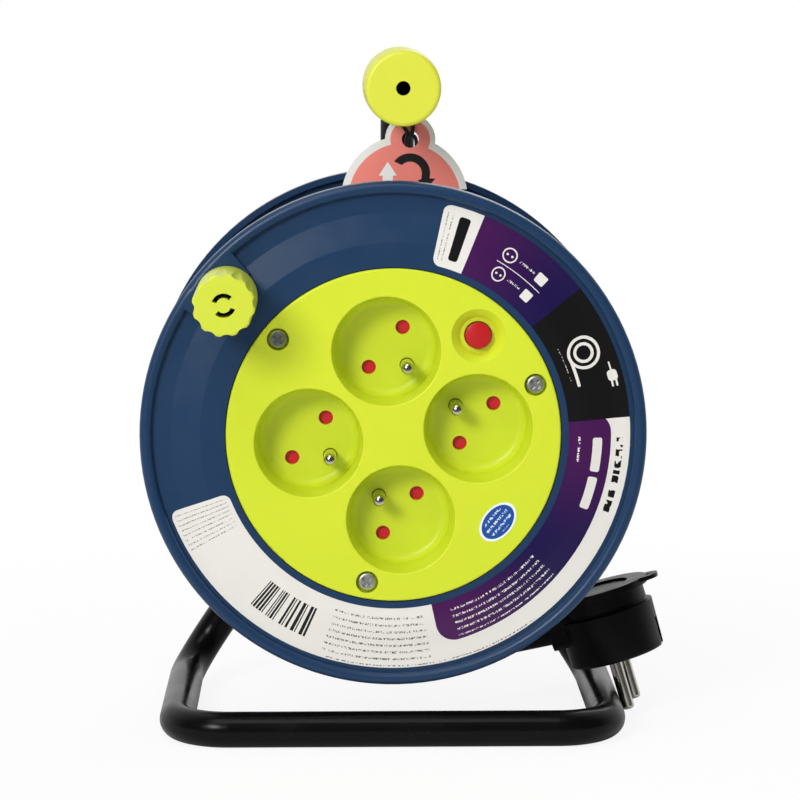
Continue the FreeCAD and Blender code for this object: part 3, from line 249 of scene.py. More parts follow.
def powder_coat():
    """Black powder coat on steel tube: an even satin skin with a shallow orange peel."""
    material, tree, shader = new_material("black_powder_coat_satin")
    place = add(tree, "TexCoord").outputs["Object"]
    # Orange peel of a powder coat is about 1.5 mm from hump to hump.
    peel = add(tree, "TexNoise", {"Vector": place, "Scale": 650.0, "Detail": 2.0})
    dust = add(tree, "TexNoise", {"Vector": place, "Scale": 60.0, "Detail": 5.0})
    tint = add(tree, "Mix", {0: dust.outputs["Fac"], 6: linear("#060607"), 7: linear("#0D0D0E")},
               data_type="RGBA")
    sheen = add(tree, "MapRange", {"Value": dust.outputs["Fac"], "From Min": 0.3, "From Max": 0.7,
                                   "To Min": 0.22, "To Max": 0.29})
    bump = add(tree, "Bump", {"Strength": 0.2, "Distance": 0.00003, "Height": peel.outputs["Fac"]})
    tree.links.new(tint.outputs[2], shader.inputs["Base Color"])
    tree.links.new(sheen.outputs["Result"], shader.inputs["Roughness"])
    tree.links.new(bump.outputs["Normal"], shader.inputs["Normal"])
    shader.inputs["Specular IOR Level"].default_value = 0.13
    return material


def cable_jacket(name, roughness):
    """Extruded PVC cable jacket: matt black, with faint marks that run along the cable."""
    material, tree, shader = new_material(name)
    uv = add(tree, "TexCoord").outputs["UV"]
    place = add(tree, "TexCoord").outputs["Object"]
    # The die leaves lines along the jacket, here about 0.9 mm apart round its 22 mm girth.
    lines = add(tree, "Mapping", {"Vector": uv, "Scale": (2.0, 24.0, 1.0)})
    die = add(tree, "TexNoise", {"Vector": lines.outputs["Vector"], "Scale": 1.0, "Detail": 2.0})
    scuff = add(tree, "TexNoise", {"Vector": place, "Scale": 90.0, "Detail": 5.0})
    base = linear("#1B1B1C")
    worn = tuple(c * 1.9 + 0.004 for c in base[:3]) + (1.0,)
    wear = add(tree, "MapRange", {"Value": scuff.outputs["Fac"], "From Min": 0.5, "From Max": 0.75})
    tint = add(tree, "Mix", {0: wear.outputs["Result"], 6: base, 7: worn}, data_type="RGBA")
    sheen = add(tree, "MapRange", {"Value": scuff.outputs["Fac"], "From Min": 0.3, "From Max": 0.7,
                                   "To Min": roughness, "To Max": roughness + 0.12})
    bump = add(tree, "Bump", {"Strength": 0.3, "Distance": 0.00006, "Height": die.outputs["Fac"]})
    tree.links.new(tint.outputs[2], shader.inputs["Base Color"])
    tree.links.new(sheen.outputs["Result"], shader.inputs["Roughness"])
    tree.links.new(bump.outputs["Normal"], shader.inputs["Normal"])
    shader.inputs["Specular IOR Level"].default_value = 0.3
    return material


def inside_block(tree, place, centre, half, corner):
    """1 inside a rounded block of a print, 0 outside; all in millimetres on the print."""
    away = add(tree, "VectorMath", {0: place, 1: (centre[0], centre[1], 0.0)}, operation="SUBTRACT")
    folded = add(tree, "VectorMath", {0: away.outputs[0]}, operation="ABSOLUTE")
    inset = (half[0] - corner, half[1] - corner, 1.0)
    over = add(tree, "VectorMath", {0: folded.outputs[0], 1: inset}, operation="SUBTRACT")
    beyond = add(tree, "VectorMath", {0: over.outputs[0], 1: (0.0, 0.0, 0.0)}, operation="MAXIMUM")
    far = add(tree, "VectorMath", {0: beyond.outputs[0]}, operation="LENGTH")
    return add(tree, "Math", {0: far.outputs["Value"], 1: corner}, operation="LESS_THAN").outputs[0]


def text_like_rows(tree, place, pitch, height, word, upright=False):
    """1 on rows of plain dashes that stand for small print, 0 elsewhere.

    pitch is the spacing of the rows, height that of the letters, and word sets the length of the
    words, all in millimetres. Upright rows run along the second axis.
    """
    split = add(tree, "SeparateXYZ", {0: place})
    along, across = (1, 0) if upright else (0, 1)
    row = add(tree, "Math", {0: split.outputs[across], 1: pitch}, operation="DIVIDE").outputs[0]
    level = add(tree, "Math", {0: row}, operation="FRACT").outputs[0]
    inked = add(tree, "Math", {0: level, 1: height / pitch}, operation="LESS_THAN").outputs[0]
    number = add(tree, "Math", {0: row}, operation="FLOOR").outputs[0]
    step = add(tree, "Math", {0: split.outputs[along], 1: 1.0 / word}, operation="MULTIPLY").outputs[0]
    letter = add(tree, "CombineXYZ", {0: step, 1: number})
    words = add(tree, "TexNoise", {"Vector": letter.outputs[0], "Scale": 3.1, "Detail": 1.0},
                noise_dimensions="2D")
    spaced = add(tree, "Math", {0: words.outputs["Fac"], 1: 0.43}, operation="GREATER_THAN").outputs[0]
    # Strokes about a third of the row's height break the words up, too fine to be read.
    strokes = add(tree, "TexNoise", {"Vector": place, "Scale": 1.1 / height, "Detail": 1.0},
                  noise_dimensions="2D")
    broken = add(tree, "Math", {0: strokes.outputs["Fac"], 1: 0.47}, operation="GREATER_THAN").outputs[0]
    printed = add(tree, "Math", {0: inked, 1: spaced}, operation="MULTIPLY").outputs[0]
    return add(tree, "Math", {0: printed, 1: broken}, operation="MULTIPLY").outputs[0]


def printed_film():
    """Coated paper label: white stock with offset-printed blocks and a thin clear film over them.

    Its UV map gives millimetres: along the label at PRINT_RADIUS, and the radius itself.
    """
    material, tree, shader = new_material("coated_paper_label_printed")
    place = add(tree, "TexCoord").outputs["UV"]
    split = add(tree, "SeparateXYZ", {0: place})

    def band(start, end, low, high, corner=0.01):
        """1 inside a block between two places along the label and two radii."""
        return inside_block(tree, place, ((start + end) / 2, (low + high) / 2),
                            ((end - start) / 2, (high - low) / 2), corner)

    def dot(along, radius, reach, corner):
        """1 inside a round spot, or a square one if its corner is smaller than its reach."""
        return band(along - reach, along + reach, radius - reach, radius + reach, corner)

    def ink(colour, mask, under):
        """The print so far with one more ink over it."""
        return add(tree, "Mix", {0: mask, 6: under, 7: colour}, data_type="RGBA").outputs[2]

    def both(first, second):
        """1 where two masks overlap."""
        return add(tree, "Math", {0: first, 1: second}, operation="MULTIPLY").outputs[0]

    small = text_like_rows(tree, place, 2.55, 0.8, 1.6)
    tiny = text_like_rows(tree, place, 1.7, 0.45, 1.1, upright=True)
    large = text_like_rows(tree, place, 40.0, 2.6, 5.5)
    white = linear("#DEDBD5")
    grey = linear("#6A6866")
    black = linear("#141314")
    # The purple runs from plum at its ends to indigo in its middle.
    wave = add(tree, "Math", {0: split.outputs[0], 1: 0.065}, operation="MULTIPLY").outputs[0]
    swing = add(tree, "Math", {0: wave}, operation="COSINE").outputs[0]
    shade = add(tree, "MapRange", {"Value": swing, "From Min": -1.0, "From Max": 1.0})
    purple = add(tree, "Mix", {0: shade.outputs["Result"], 6: linear("#1B1048"), 7: linear("#451250")},
                 data_type="RGBA").outputs[2]
    colour = ink(purple, band(-8.0, 100.1, 40.0, 78.2, 7.0), white)
    colour = ink(purple, band(-87.2, -49.0, 50.0, 98.0), colour)
    colour = ink(black, band(-49.5, -5.6, 50.0, 98.0), colour)
    # Plain bars and dashes stand where the print is.
    colour = ink(black, band(-94.4, -90.6, 66.0, 82.0, 1.0), colour)
    colour = ink(grey, both(tiny, band(-99.0, -95.6, 65.0, 82.5)), colour)
    colour = ink(black, both(large, band(1.0, 26.0, 80.2, 83.0)), colour)
    colour = ink(white, band(1.0, 13.5, 71.6, 75.0, 0.8), colour)
    colour = ink(white, band(15.5, 27.5, 71.6, 75.0, 0.8), colour)
    colour = ink(white, both(small, band(0.5, 11.0, 65.6, 68.0)), colour)
    colour = ink(white, both(small, band(53.0, 93.0, 65.6, 77.0)), colour)
    colour = ink(grey, both(small, band(104.0, 140.0, 66.0, 82.3)), colour)
    colour = ink(grey, both(small, band(68.0, 138.0, 82.6, 84.6)), colour)
    colour = ink(grey, both(tiny, band(193.5, 206.0, 64.5, 84.0)), colour)
    # Bars of uneven width, in steps of 0.4 mm.
    module = add(tree, "Math", {0: split.outputs[0], 1: 0.4}, operation="DIVIDE").outputs[0]
    module = add(tree, "Math", {0: module}, operation="FLOOR").outputs[0]
    chance = add(tree, "TexWhiteNoise", {"W": module}, noise_dimensions="1D").outputs["Value"]
    bars = add(tree, "Math", {0: chance, 1: 0.48}, operation="LESS_THAN").outputs[0]
    colour = ink(black, both(bars, band(146.4, 168.9, 68.6, 80.2)), colour)
    # A socket sign and a tick box, twice, on the purple block.
    sign = -73.9
    for height in (69.0, 76.8):
        colour = ink(white, dot(sign, height, 2.7, 2.69), colour)
        colour = ink(purple, dot(sign, height, 2.2, 2.19), colour)
        for hole in (sign - 0.95, sign + 0.95):
            colour = ink(white, dot(hole, height, 0.42, 0.4), colour)
        colour = ink(white, both(small, band(-69.8, -63.4, height - 1.1, height + 1.6)), colour)
        colour = ink(white, band(-62.3, -58.4, height - 1.9, height + 1.9, 0.5), colour)
    colour = ink(white, band(-77.0, -57.5, 72.75, 73.05), colour)
    # A coil of cable and a plug, as plain signs, on the black block.
    for reach, paint in ((6.0, white), (4.9, black), (3.7, white), (2.6, black)):
        colour = ink(paint, dot(-30.5, 74.2, reach, reach - 0.01), colour)
    colour = ink(white, band(-30.5, -19.0, 68.3, 69.4, 0.5), colour)
    colour = ink(white, band(-21.6, -18.0, 79.6, 83.2, 1.2), colour)
    for level in (80.4, 82.0):
        colour = ink(white, band(-18.4, -16.0, level, level + 0.7, 0.3), colour)
    colour = ink(white, band(-24.4, -21.0, 81.1, 81.7, 0.25), colour)
    colour = ink(white, both(small, band(-36.0, -22.0, 64.6, 66.6)), colour)
    tree.links.new(colour, shader.inputs["Base Color"])
    solid = add(tree, "TexCoord").outputs["Object"]
    ripple = add(tree, "TexNoise", {"Vector": solid, "Scale": 70.0, "Detail": 2.0})
    bump = add(tree, "Bump", {"Strength": 0.15, "Distance": 0.0002, "Height": ripple.outputs["Fac"]})
    tree.links.new(bump.outputs["Normal"], shader.inputs["Normal"])
    shader.inputs["Roughness"].default_value = 0.3
    shader.inputs["Specular IOR Level"].default_value = 0.25
    shader.inputs["Coat Weight"].default_value = 0.1
    shader.inputs["Coat Roughness"].default_value = 0.15
    return material


def tag_card():
    """Coated card, printed salmon with a white border that follows its outline."""
    material, tree, shader = new_material("coated_card_printed")
    place = add(tree, "TexCoord").outputs["Object"]
    # Distances in mm from the centres of the half disc and the ear, along the card's plane.
    masks = []
    for centre, reach in ((at_depth(*TAG_CENTRE), TAG_PRINT), (at_depth(*EAR_CENTRE), EAR_PRINT)):
        flat = add(tree, "Mapping", {"Vector": place, "Scale": (1000.0, 0.0, 1000.0),
                                     "Location": (-centre.x * 1000, 0.0, -centre.z * 1000)})
        far = add(tree, "VectorMath", {0: flat.outputs["Vector"]}, operation="LENGTH")
        mask = add(tree, "Math", {0: far.outputs["Value"], 1: reach}, operation="LESS_THAN")
        masks.append(mask.outputs[0])
    printed = add(tree, "Math", {0: masks[0], 1: masks[1]}, operation="MAXIMUM").outputs[0]
    tint = add(tree, "Mix", {0: printed, 6: linear("#F8F6F3"), 7: linear("#FF8F84")}, data_type="RGBA")
    fibre = add(tree, "TexNoise", {"Vector": place, "Scale": 900.0, "Detail": 3.0})
    bump = add(tree, "Bump", {"Strength": 0.12, "Distance": 0.00005, "Height": fibre.outputs["Fac"]})
    tree.links.new(tint.outputs[2], shader.inputs["Base Color"])
    tree.links.new(bump.outputs["Normal"], shader.inputs["Normal"])
    shader.inputs["Roughness"].default_value = 0.4
    return material


def printed_ink(name, colour):
    """Offset ink on card: flat, slightly shinier than the stock, with a fine speckle."""
    material, tree, shader = new_material(name)
    place = add(tree, "TexCoord").outputs["Object"]
    speckle = add(tree, "TexNoise", {"Vector": place, "Scale": 2500.0, "Detail": 2.0})
    base = linear(colour)
    pale = tuple(c * 0.92 + 0.01 for c in base[:3]) + (1.0,)
    tint = add(tree, "Mix", {0: speckle.outputs["Fac"], 6: base, 7: pale}, data_type="RGBA")
    tree.links.new(tint.outputs[2], shader.inputs["Base Color"])
    shader.inputs["Roughness"].default_value = 0.35
    return material


def seal_film(centre, tilt, half_long, half_short):
    """Vinyl seal: blue with a white edge and plain white dashes."""
    material, tree, shader = new_material("vinyl_seal_printed")
    place = add(tree, "TexCoord").outputs["Object"]
    moved = add(tree, "VectorMath", {0: place, 1: tuple(centre)}, operation="SUBTRACT")
    turned = add(tree, "VectorRotate", {"Vector": moved.outputs[0], "Axis": (0.0, 1.0, 0.0),
                                        "Angle": math.radians(tilt)}, rotation_type="AXIS_ANGLE")
    scaled = add(tree, "Mapping", {"Vector": turned.outputs[0],
                                   "Scale": (1.0 / half_long, 0.0, 1.0 / half_short)})
    far = add(tree, "VectorMath", {0: scaled.outputs["Vector"]}, operation="LENGTH")
    # The blue reaches 88 % of the way out and the dashes 70 %.
    blue = add(tree, "Math", {0: far.outputs["Value"], 1: 0.88}, operation="LESS_THAN").outputs[0]
    field = add(tree, "Math", {0: far.outputs["Value"], 1: 0.7}, operation="LESS_THAN").outputs[0]
    split = add(tree, "SeparateXYZ", {0: turned.outputs[0]})
    flat = add(tree, "CombineXYZ", {0: split.outputs[0], 1: split.outputs[2]})
    mm = add(tree, "VectorMath", {0: flat.outputs[0], "Scale": 1000.0}, operation="SCALE")
    rows = text_like_rows(tree, mm.outputs[0], 2.2, 0.9, 1.5)
    dashes = add(tree, "Math", {0: rows, 1: field}, operation="MULTIPLY").outputs[0]
    field = add(tree, "Mix", {0: blue, 6: linear("#E4EBF2"), 7: linear("#1A4C98")}, data_type="RGBA")
    tint = add(tree, "Mix", {0: dashes, 6: field.outputs[2], 7: linear("#C9D8EE")}, data_type="RGBA")
    tree.links.new(tint.outputs[2], shader.inputs["Base Color"])
    shader.inputs["Roughness"].default_value = 0.25
    return material


def twisted_string():
    """Black polyester string: two strands twisted together, seen as slanting ridges, with painted shade in
    their grooves.
    """
    material, tree, shader = new_material("polyester_string_twisted")
    uv = add(tree, "TexCoord").outputs["UV"]
    lay = add(tree, "Mapping", {"Vector": uv, "Scale": (70.0, 2.0, 1.0)})
    ridges = add(tree, "TexWave", {"Vector": lay.outputs["Vector"], "Scale": 1.0, "Distortion": 0.6},
                 bands_direction="DIAGONAL")
    # Painted shade and highlight: the grooves between the strands are painted darker and the ridges' crests
    # lighter, following the bump's height.
    tint = add(tree, "Mix", {0: ridges.outputs["Fac"], 6: linear("#0B0B0C"), 7: linear("#2A2A2C")},
               data_type="RGBA")
    bump = add(tree, "Bump", {"Strength": 0.7, "Distance": 0.0002, "Height": ridges.outputs["Fac"]})
    tree.links.new(tint.outputs[2], shader.inputs["Base Color"])
    tree.links.new(bump.outputs["Normal"], shader.inputs["Normal"])
    shader.inputs["Roughness"].default_value = 0.7
    return material


# Sizes and colours that a user would change

def colour_property(name, description, code):
    """A colour that is chosen by its sRGB hex code."""
    channels = [int(code[i:i + 2], 16) / 255 for i in (1, 3, 5)]
    return FloatVectorProperty(name=name, description=description, subtype="COLOR_GAMMA", size=3,
                               min=0.0, max=1.0, default=channels)


def hex_of(colour):
    """The sRGB hex code of a colour property."""
    return "#" + "".join("%02X" % round(c * 255) for c in colour)


class ReelColours(bpy.types.PropertyGroup):
    """Colours of the reel's plastics."""
    panel: colour_property("Socket panel", "Colour of the moulded socket panel", "#CFDD2C")
    grip: colour_property("Grip", "Colour of the handle grip", "#D4D837")
    knob: colour_property("Knob", "Colour of the winding knob", "#CCD833")
    drum: colour_property("Drum", "Colour of both halves of the drum", "#1B385A")
    button: colour_property("Reset button", "Colour of the overload cut-out's button", "#BA151B")
    shutter: colour_property("Shutters", "Colour of the shutters behind the contact holes", "#D81E28")


class ReelSizes(bpy.types.PropertyGroup):
    """Sizes of the pieces that are made here."""
    label_inner: FloatProperty(name="Label inner radius", description="Inner radius of the label, in mm",
                               default=62.9, min=61.0, max=70.0)
    label_outer: FloatProperty(name="Label outer radius", description="Outer radius of the label, in mm",
                               default=85.1, min=75.0, max=86.0)
    label_start: FloatProperty(name="Label start", description="Angle of the label's upper end",
                               default=math.radians(77.5), subtype="ANGLE", unit="ROTATION")
    label_end: FloatProperty(name="Label end", description="Angle of the label's lower end",
                             default=math.radians(-160.8), subtype="ANGLE", unit="ROTATION")
    label_corner: FloatProperty(name="Label corner", description="Rounding of the label's corners",
                                default=0.003, min=0.0005, max=0.006, subtype="DISTANCE", unit="LENGTH")
    cable_diameter: FloatProperty(name="Cable diameter", description="Outside diameter of the cable",
                                  default=0.007, min=0.005, max=0.009, subtype="DISTANCE", unit="LENGTH")
    turn_points: IntProperty(name="Points per turn", description="Route points in a turn of the winding",
                             default=16, min=12, max=32)


# Cords

def cord_piece(name, points, radius, sides, steps):
    """A round cord along a smooth line that the points pull into shape."""
    curve = bpy.data.curves.new(name, "CURVE")
    curve.dimensions = "3D"
    spline = curve.splines.new("NURBS")
    spline.points.add(len(points) - 1)
    for control, place in zip(spline.points, points):
        control.co = (*place, 1.0)
    spline.order_u = 3
    spline.use_endpoint_u = True
    spline.resolution_u = steps
    curve.bevel_depth = radius
    curve.bevel_resolution = sides
    curve.use_fill_caps = True
    piece = bpy.data.objects.new(name, curve)
    bpy.context.scene.collection.objects.link(piece)
    return piece


def layer(radius, first, last, start, turns, per_turn):
    """Route points of one wound layer, anticlockwise from a start angle, between two depths."""
    pull = math.cos(math.pi / per_turn)
    count = round(turns * per_turn)
    points = []
    for i in range(count + 1):
        depth = first + (last - first) * i / count
        points.append(round_axis(radius / pull, depth, start + 360 * i / per_turn))
    return points


class REEL_OT_winding(bpy.types.Operator):
    """Winds the cable on the drum in three layers, as one cord"""
    bl_idname = "reel.winding"
    bl_label = "Wound cable"

    def execute(self, context):
        sizes = context.scene.reel_sizes
        per_turn = sizes.turn_points
        low, middle, top = LAYER_RADII
        # Each layer starts one point on from where the layer below ends.
        top_start = TOP_END - 360 * TOP_TURNS
        middle_start = top_start - 360 * LOWER_TURNS - 360 / per_turn
        low_start = middle_start - 360 * LOWER_TURNS - 360 / per_turn
        top_rear = TOP_FRONT + TOP_PITCH * TOP_TURNS
        points = layer(low, LOWER_FRONT, LOWER_REAR, low_start, LOWER_TURNS, per_turn)
        points += layer(middle, LOWER_REAR, LOWER_FRONT, middle_start, LOWER_TURNS, per_turn)
        points += layer(top, TOP_FRONT, top_rear, top_start, TOP_TURNS, per_turn)
        # The last turn lifts off, leans to the front past the hanging tag, and ends 0.9 mm inside the
        # free end, so that the two read as one cable.
        lifted = at_depth(-82.9, 83.8, -19.3)
        meeting = Vector(FREE_END[0])
        inside = meeting + (meeting - lifted).normalized() * 0.0009
        points[-2:] = [at_depth(-79.3, 86.0, 6.9), lifted, inside]
        piece = cord_piece("wound_cable", points, sizes.cable_diameter / 2, 3, 4)
        finish(piece, cable_jacket("pvc_jacket_matt", 0.42), "drum")
        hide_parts("cable_core", "cable_outer_layer")
        return {"FINISHED"}


class REEL_OT_free_end(bpy.types.Operator):
    """Leads the cable's free end from the winding under the drum to the plug"""
    bl_idname = "reel.free_end"
    bl_label = "Free end of the cable"

    def execute(self, context):
        sizes = context.scene.reel_sizes
        piece = cord_piece("cable_free_end", FREE_END, sizes.cable_diameter / 2, 5, 12)
        finish(piece, cable_jacket("pvc_jacket_free_end", 0.42), "stand")
        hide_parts("cable_tail")
        return {"FINISHED"}


class REEL_OT_string(bpy.types.Operator):
    """Ties the tag's string round the stand's tube, behind the grip"""
    bl_idname = "reel.string"
    bl_label = "Tag string"

    def execute(self, context):
        radius = 0.75
        tube_radius, gap = 6.5, 0.3
        steps = 12
        # The loop clears the stand's tube, and the strands hang just in front of the card.
        reach = tube_radius + gap + radius
        middle, depth, ear = EAR_CENTRE
        front = depth - 1.05
        behind = depth + 1.5
        eye = ear + 1.6

        def strand(side):
            """One strand: its tail behind the card, its way through the eye, and its start upwards."""
            tail = middle + side * 2.0 + 0.45
            return [
                at_depth(tail, behind, eye - 5.4),
                at_depth(tail, behind, eye - 0.9),
                at_depth(middle + side * 0.8, (front + behind) / 2, eye - 0.1),
                at_depth(middle + side * 0.9 - 0.1, front, eye + 1.2),
            ]

        # The strands leave the loop at its tangents towards the eye.
        away = Vector((middle - GRIP_CENTRE[0], eye - GRIP_CENTRE[1]))
        towards = math.atan2(away.y, away.x)
        open_half = math.acos(reach / away.length)
        step = 2 * (math.pi - open_half) / steps
        loop = reach / math.cos(step / 2)
        points = strand(-1)
        for i in range(steps + 1):
            a = towards - open_half - i * step
            across, above = loop * math.cos(a), loop * math.sin(a)
            points.append(at_depth(GRIP_CENTRE[0] + across, front, GRIP_CENTRE[1] + above))
        points += reversed(strand(1))
        piece = cord_piece("tag_string_tied", points, radius / 1000, 3, 8)
        finish(piece, twisted_string(), "tag")
        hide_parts("tag_string")
        return {"FINISHED"}


# Printed pieces

class REEL_OT_label(bpy.types.Operator):
    """Lays the printed label on the drum's front flange"""
    bl_idname = "reel.label"
    bl_label = "Flange label"

    def execute(self, context):
        sizes = context.scene.reel_sizes
        # The flange's face, in mm behind the drum's front: level, then a cone that falls back.
        cone_inner, cone_outer = 69.3, 79.9
        level, fall = 1.0, 2.0
        lift = 0.12

        def surface(radius):
            """Depth of the label at a radius, just in front of the flange's face."""
            share = min(max((radius - cone_inner) / (cone_outer - cone_inner), 0.0), 1.0)
            return level + fall * share - lift

        radii = [sizes.label_inner, 66.1, cone_inner, 72.8, 76.3, cone_outer, 82.5, sizes.label_outer]
        start = math.degrees(sizes.label_start)
        piece = draw_line("flange_label", [round_axis(r, surface(r), start) for r in radii])
        bpy.ops.mesh.select_all(action="SELECT")
        bpy.ops.mesh.spin(steps=95, angle=sizes.label_end - sizes.label_start, center=AXIS,
                          axis=(0, 1, 0))
        close_piece(piece)
        self.round_corners(piece, sizes)
        self.map_print(piece)
        bpy.ops.object.mode_set(mode="EDIT")
        bpy.ops.mesh.select_all(action="SELECT")
        bpy.ops.mesh.normals_make_consistent(inside=False)
        bpy.ops.object.mode_set(mode="OBJECT")
        if sum(face.normal.y * face.area for face in piece.data.polygons) > 0:
            bpy.ops.object.mode_set(mode="EDIT")
            bpy.ops.mesh.flip_normals()
            bpy.ops.object.mode_set(mode="OBJECT")
        paper = piece.modifiers.new("paper", "SOLIDIFY")
        paper.thickness = 0.0001
        paper.offset = -1.0
        bpy.ops.object.modifier_apply(modifier="paper")
        bpy.ops.object.shade_smooth_by_angle(angle=math.radians(40))
        finish(piece, printed_film(), "drum")
        return {"FINISHED"}

    def round_corners(self, piece, sizes):
        """Rounds the four outer corners: the vertices with only two edges."""
        counts = [0] * len(piece.data.vertices)
        for edge in piece.data.edges:
            for v in edge.vertices:
                counts[v] += 1
        bpy.ops.object.mode_set(mode="EDIT")
        bpy.ops.mesh.select_all(action="DESELECT")
        bpy.ops.object.mode_set(mode="OBJECT")
        for v, count in zip(piece.data.vertices, counts):
            v.select = count == 2
        bpy.ops.object.mode_set(mode="EDIT")
        bpy.ops.mesh.bevel(offset=sizes.label_corner, segments=6, affect="VERTICES",
                           clamp_overlap=False)
        bpy.ops.object.mode_set(mode="OBJECT")

    def map_print(self, piece):
        """UV in millimetres: along PRINT_RADIUS, clockwise from the right, and the radius."""
        mesh = piece.data
        print_map = mesh.uv_layers.new(name="print")
        for loop in mesh.loops:
            place = mesh.vertices[loop.vertex_index].co - AXIS
            angle = math.atan2(place.z, place.x)
            # The label has its gap at the upper left, so angles run on from there.
            if angle > math.radians(100):
                angle -= 2 * math.pi
            radius = math.hypot(place.x, place.z) * 1000
            print_map.data[loop.index].uv = (-angle * PRINT_RADIUS, radius)


class REEL_OT_seal(bpy.types.Operator):
    """Sticks the oval seal on the socket panel"""
    bl_idname = "reel.seal"
    bl_label = "Oval seal"

    def execute(self, context):
        half_long, half_short, thickness, tilt = 0.0081, 0.0054, 0.00012, 50.0
        centre = at_depth(37.5, 0.4, -31.3)
        deselect()
        bpy.ops.mesh.primitive_circle_add(vertices=64, radius=1.0, fill_type="NGON", location=centre,
                                          rotation=(math.radians(90), 0, 0))
        piece = bpy.context.object
        piece.name = piece.data.name = "oval_seal"
        bpy.ops.object.mode_set(mode="EDIT")
        bpy.ops.mesh.select_all(action="SELECT")
        bpy.ops.transform.resize(value=(half_long, 1.0, half_short), center_override=centre)
        bpy.ops.transform.rotate(value=math.radians(tilt), orient_axis="Y", center_override=centre)
        bpy.ops.mesh.extrude_region_move(TRANSFORM_OT_translate={"value": DEPTH * -thickness})
        bpy.ops.mesh.select_all(action="SELECT")
        bpy.ops.mesh.normals_make_consistent(inside=False)
        close_piece(piece)
        finish(piece, seal_film(centre, tilt, half_long, half_short), "drum")
        return {"FINISHED"}


class REEL_OT_arrows(bpy.types.Operator):
    """Prints the straight and the curved arrow on the tag"""
    bl_idname = "reel.arrows"
    bl_label = "Tag arrows"

    def execute(self, context):
        # The ink lies just in front of the card. The straight arrow goes from its foot up to its tip.
        ink = TAG_CENTRE[1] - 0.05
        thickness = 0.04
        foot, barb, tip = 83.9, 88.5, 93.8
        left, right = -2.5, 1.4
        straight = [(-0.6, tip), (-4.0, barb), (left, barb), (left, foot), (right, foot), (right, barb),
                    (2.9, barb)]
        piece = flat_piece("straight_arrow", straight, ink, thickness)
        finish(piece, printed_ink("white_ink", "#FFFFFF"), "tag")
        centre = (7.95, 89.35)
        outer, inner = 7.65, 4.5

        def arc(radius, start, end, steps=18):
            for i in range(steps + 1):
                a = math.radians(start + (end - start) * i / steps)
                yield centre[0] + radius * math.cos(a), centre[1] + radius * math.sin(a)

        curved = list(arc(outer, 143, -14)) + [(17.6, 87.3), (14.5, 83.9), (10.8, 86.6), (12.35, 87.3)]
        curved += list(arc(inner, -14, 135))
        piece = flat_piece("curved_arrow", curved, ink, thickness)
        finish(piece, printed_ink("black_ink", "#1A1616"), "tag")
        return {"FINISHED"}


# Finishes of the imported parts

class REEL_OT_finish_stand(bpy.types.Operator):
    """Gives the stand, its grip and its fasteners their finishes"""
    bl_idname = "reel.finish_stand"
    bl_label = "Stand finishes"

    def execute(self, context):
        colours = context.scene.reel_colours
        dress(["stand_tube", "hub_plate", "hub_welds"], powder_coat())
        dress(["axle", "axle_screw", "retaining_washer"],
              metal("zinc_plated_steel_stand", "#B9BBB6", 0.28, 0.25))
        dress(["handle_grip"],
              moulded_plastic("polypropylene_grip_satin", hex_of(colours.grip), 0.42, 0.35, 0.02, edge=0.5))
        dress(["thrust_washer"],
              moulded_plastic("polyamide_washer_natural", "#DDD8CB", 0.4, 0.3, 0.01))
        dress(["hang_tag"], tag_card())
        return {"FINISHED"}


class REEL_OT_finish_drum(bpy.types.Operator):
    """Gives the drum's halves, its screws and its bush their finishes"""
    bl_idname = "reel.finish_drum"
    bl_label = "Drum finishes"

    def execute(self, context):
        colours = context.scene.reel_colours
        blue = moulded_plastic("polypropylene_drum_grained", hex_of(colours.drum), 0.32, 0.5, 0.015,
                               edge=0.4, shine=0.3)
        dress(["drum_front", "drum_rear"], blue)
        dress(["drum_screws", "clamp_screws", "base_screws", "panel_screws", "reset_spring"],
              metal("zinc_plated_steel_screws", "#D9DBD7", 0.36, 0.15))
        white = moulded_plastic("polyamide_bush_natural", "#DDD8CB", 0.4, 0.3, 0.01)
        dress(["hub_bush", "cable_clamp"], white)
        dress(["cable_inner_end"], cable_jacket("pvc_jacket_inner_end", 0.45))
        return {"FINISHED"}


class REEL_OT_finish_sockets(bpy.types.Operator):
    """Gives the panel, its shutters and contacts, and the cut-out their finishes"""
    bl_idname = "reel.finish_sockets"
    bl_label = "Socket finishes"

    def execute(self, context):
        colours = context.scene.reel_colours
        sockets = range(1, 5)
        dress(["socket_panel"] + ["socket_cup_%d" % i for i in sockets],
              moulded_plastic("abs_panel_satin", hex_of(colours.panel), 0.34, 0.4, 0.012, edge=0.3,
                              shine=0.3))
        dress(["winding_knob"],
              moulded_plastic("polypropylene_knob_satin", hex_of(colours.knob), 0.4, 0.35, 0.02, edge=0.4))
        dress(["shutter_%d" % i for i in sockets],
              moulded_plastic("polyamide_shutter_gloss", hex_of(colours.shutter), 0.28, 0.3, 0.008))
        dress(["reset_button"],
              moulded_plastic("abs_button_gloss", hex_of(colours.button), 0.25, 0.4, 0.006))
        dress(["breaker_body"], moulded_plastic("phenolic_case_black", "#151516", 0.45, 0.3, 0.02))
        dress(["contact_base"], moulded_plastic("pbt_carrier_grey", "#8A8B8C", 0.45, 0.3, 0.02))
        dress(["live_bar", "neutral_bar", "earth_bar", "breaker_terminals"],
              metal("brass_strip_stamped", "#D9BC6B", 0.25, 0.2, (1.0, 1.0, 0.1)))
        dress(["earth_pins"], metal("nickel_plated_brass_pins", "#D6D3CB", 0.12, 0.3, dull=0.06))
        return {"FINISHED"}


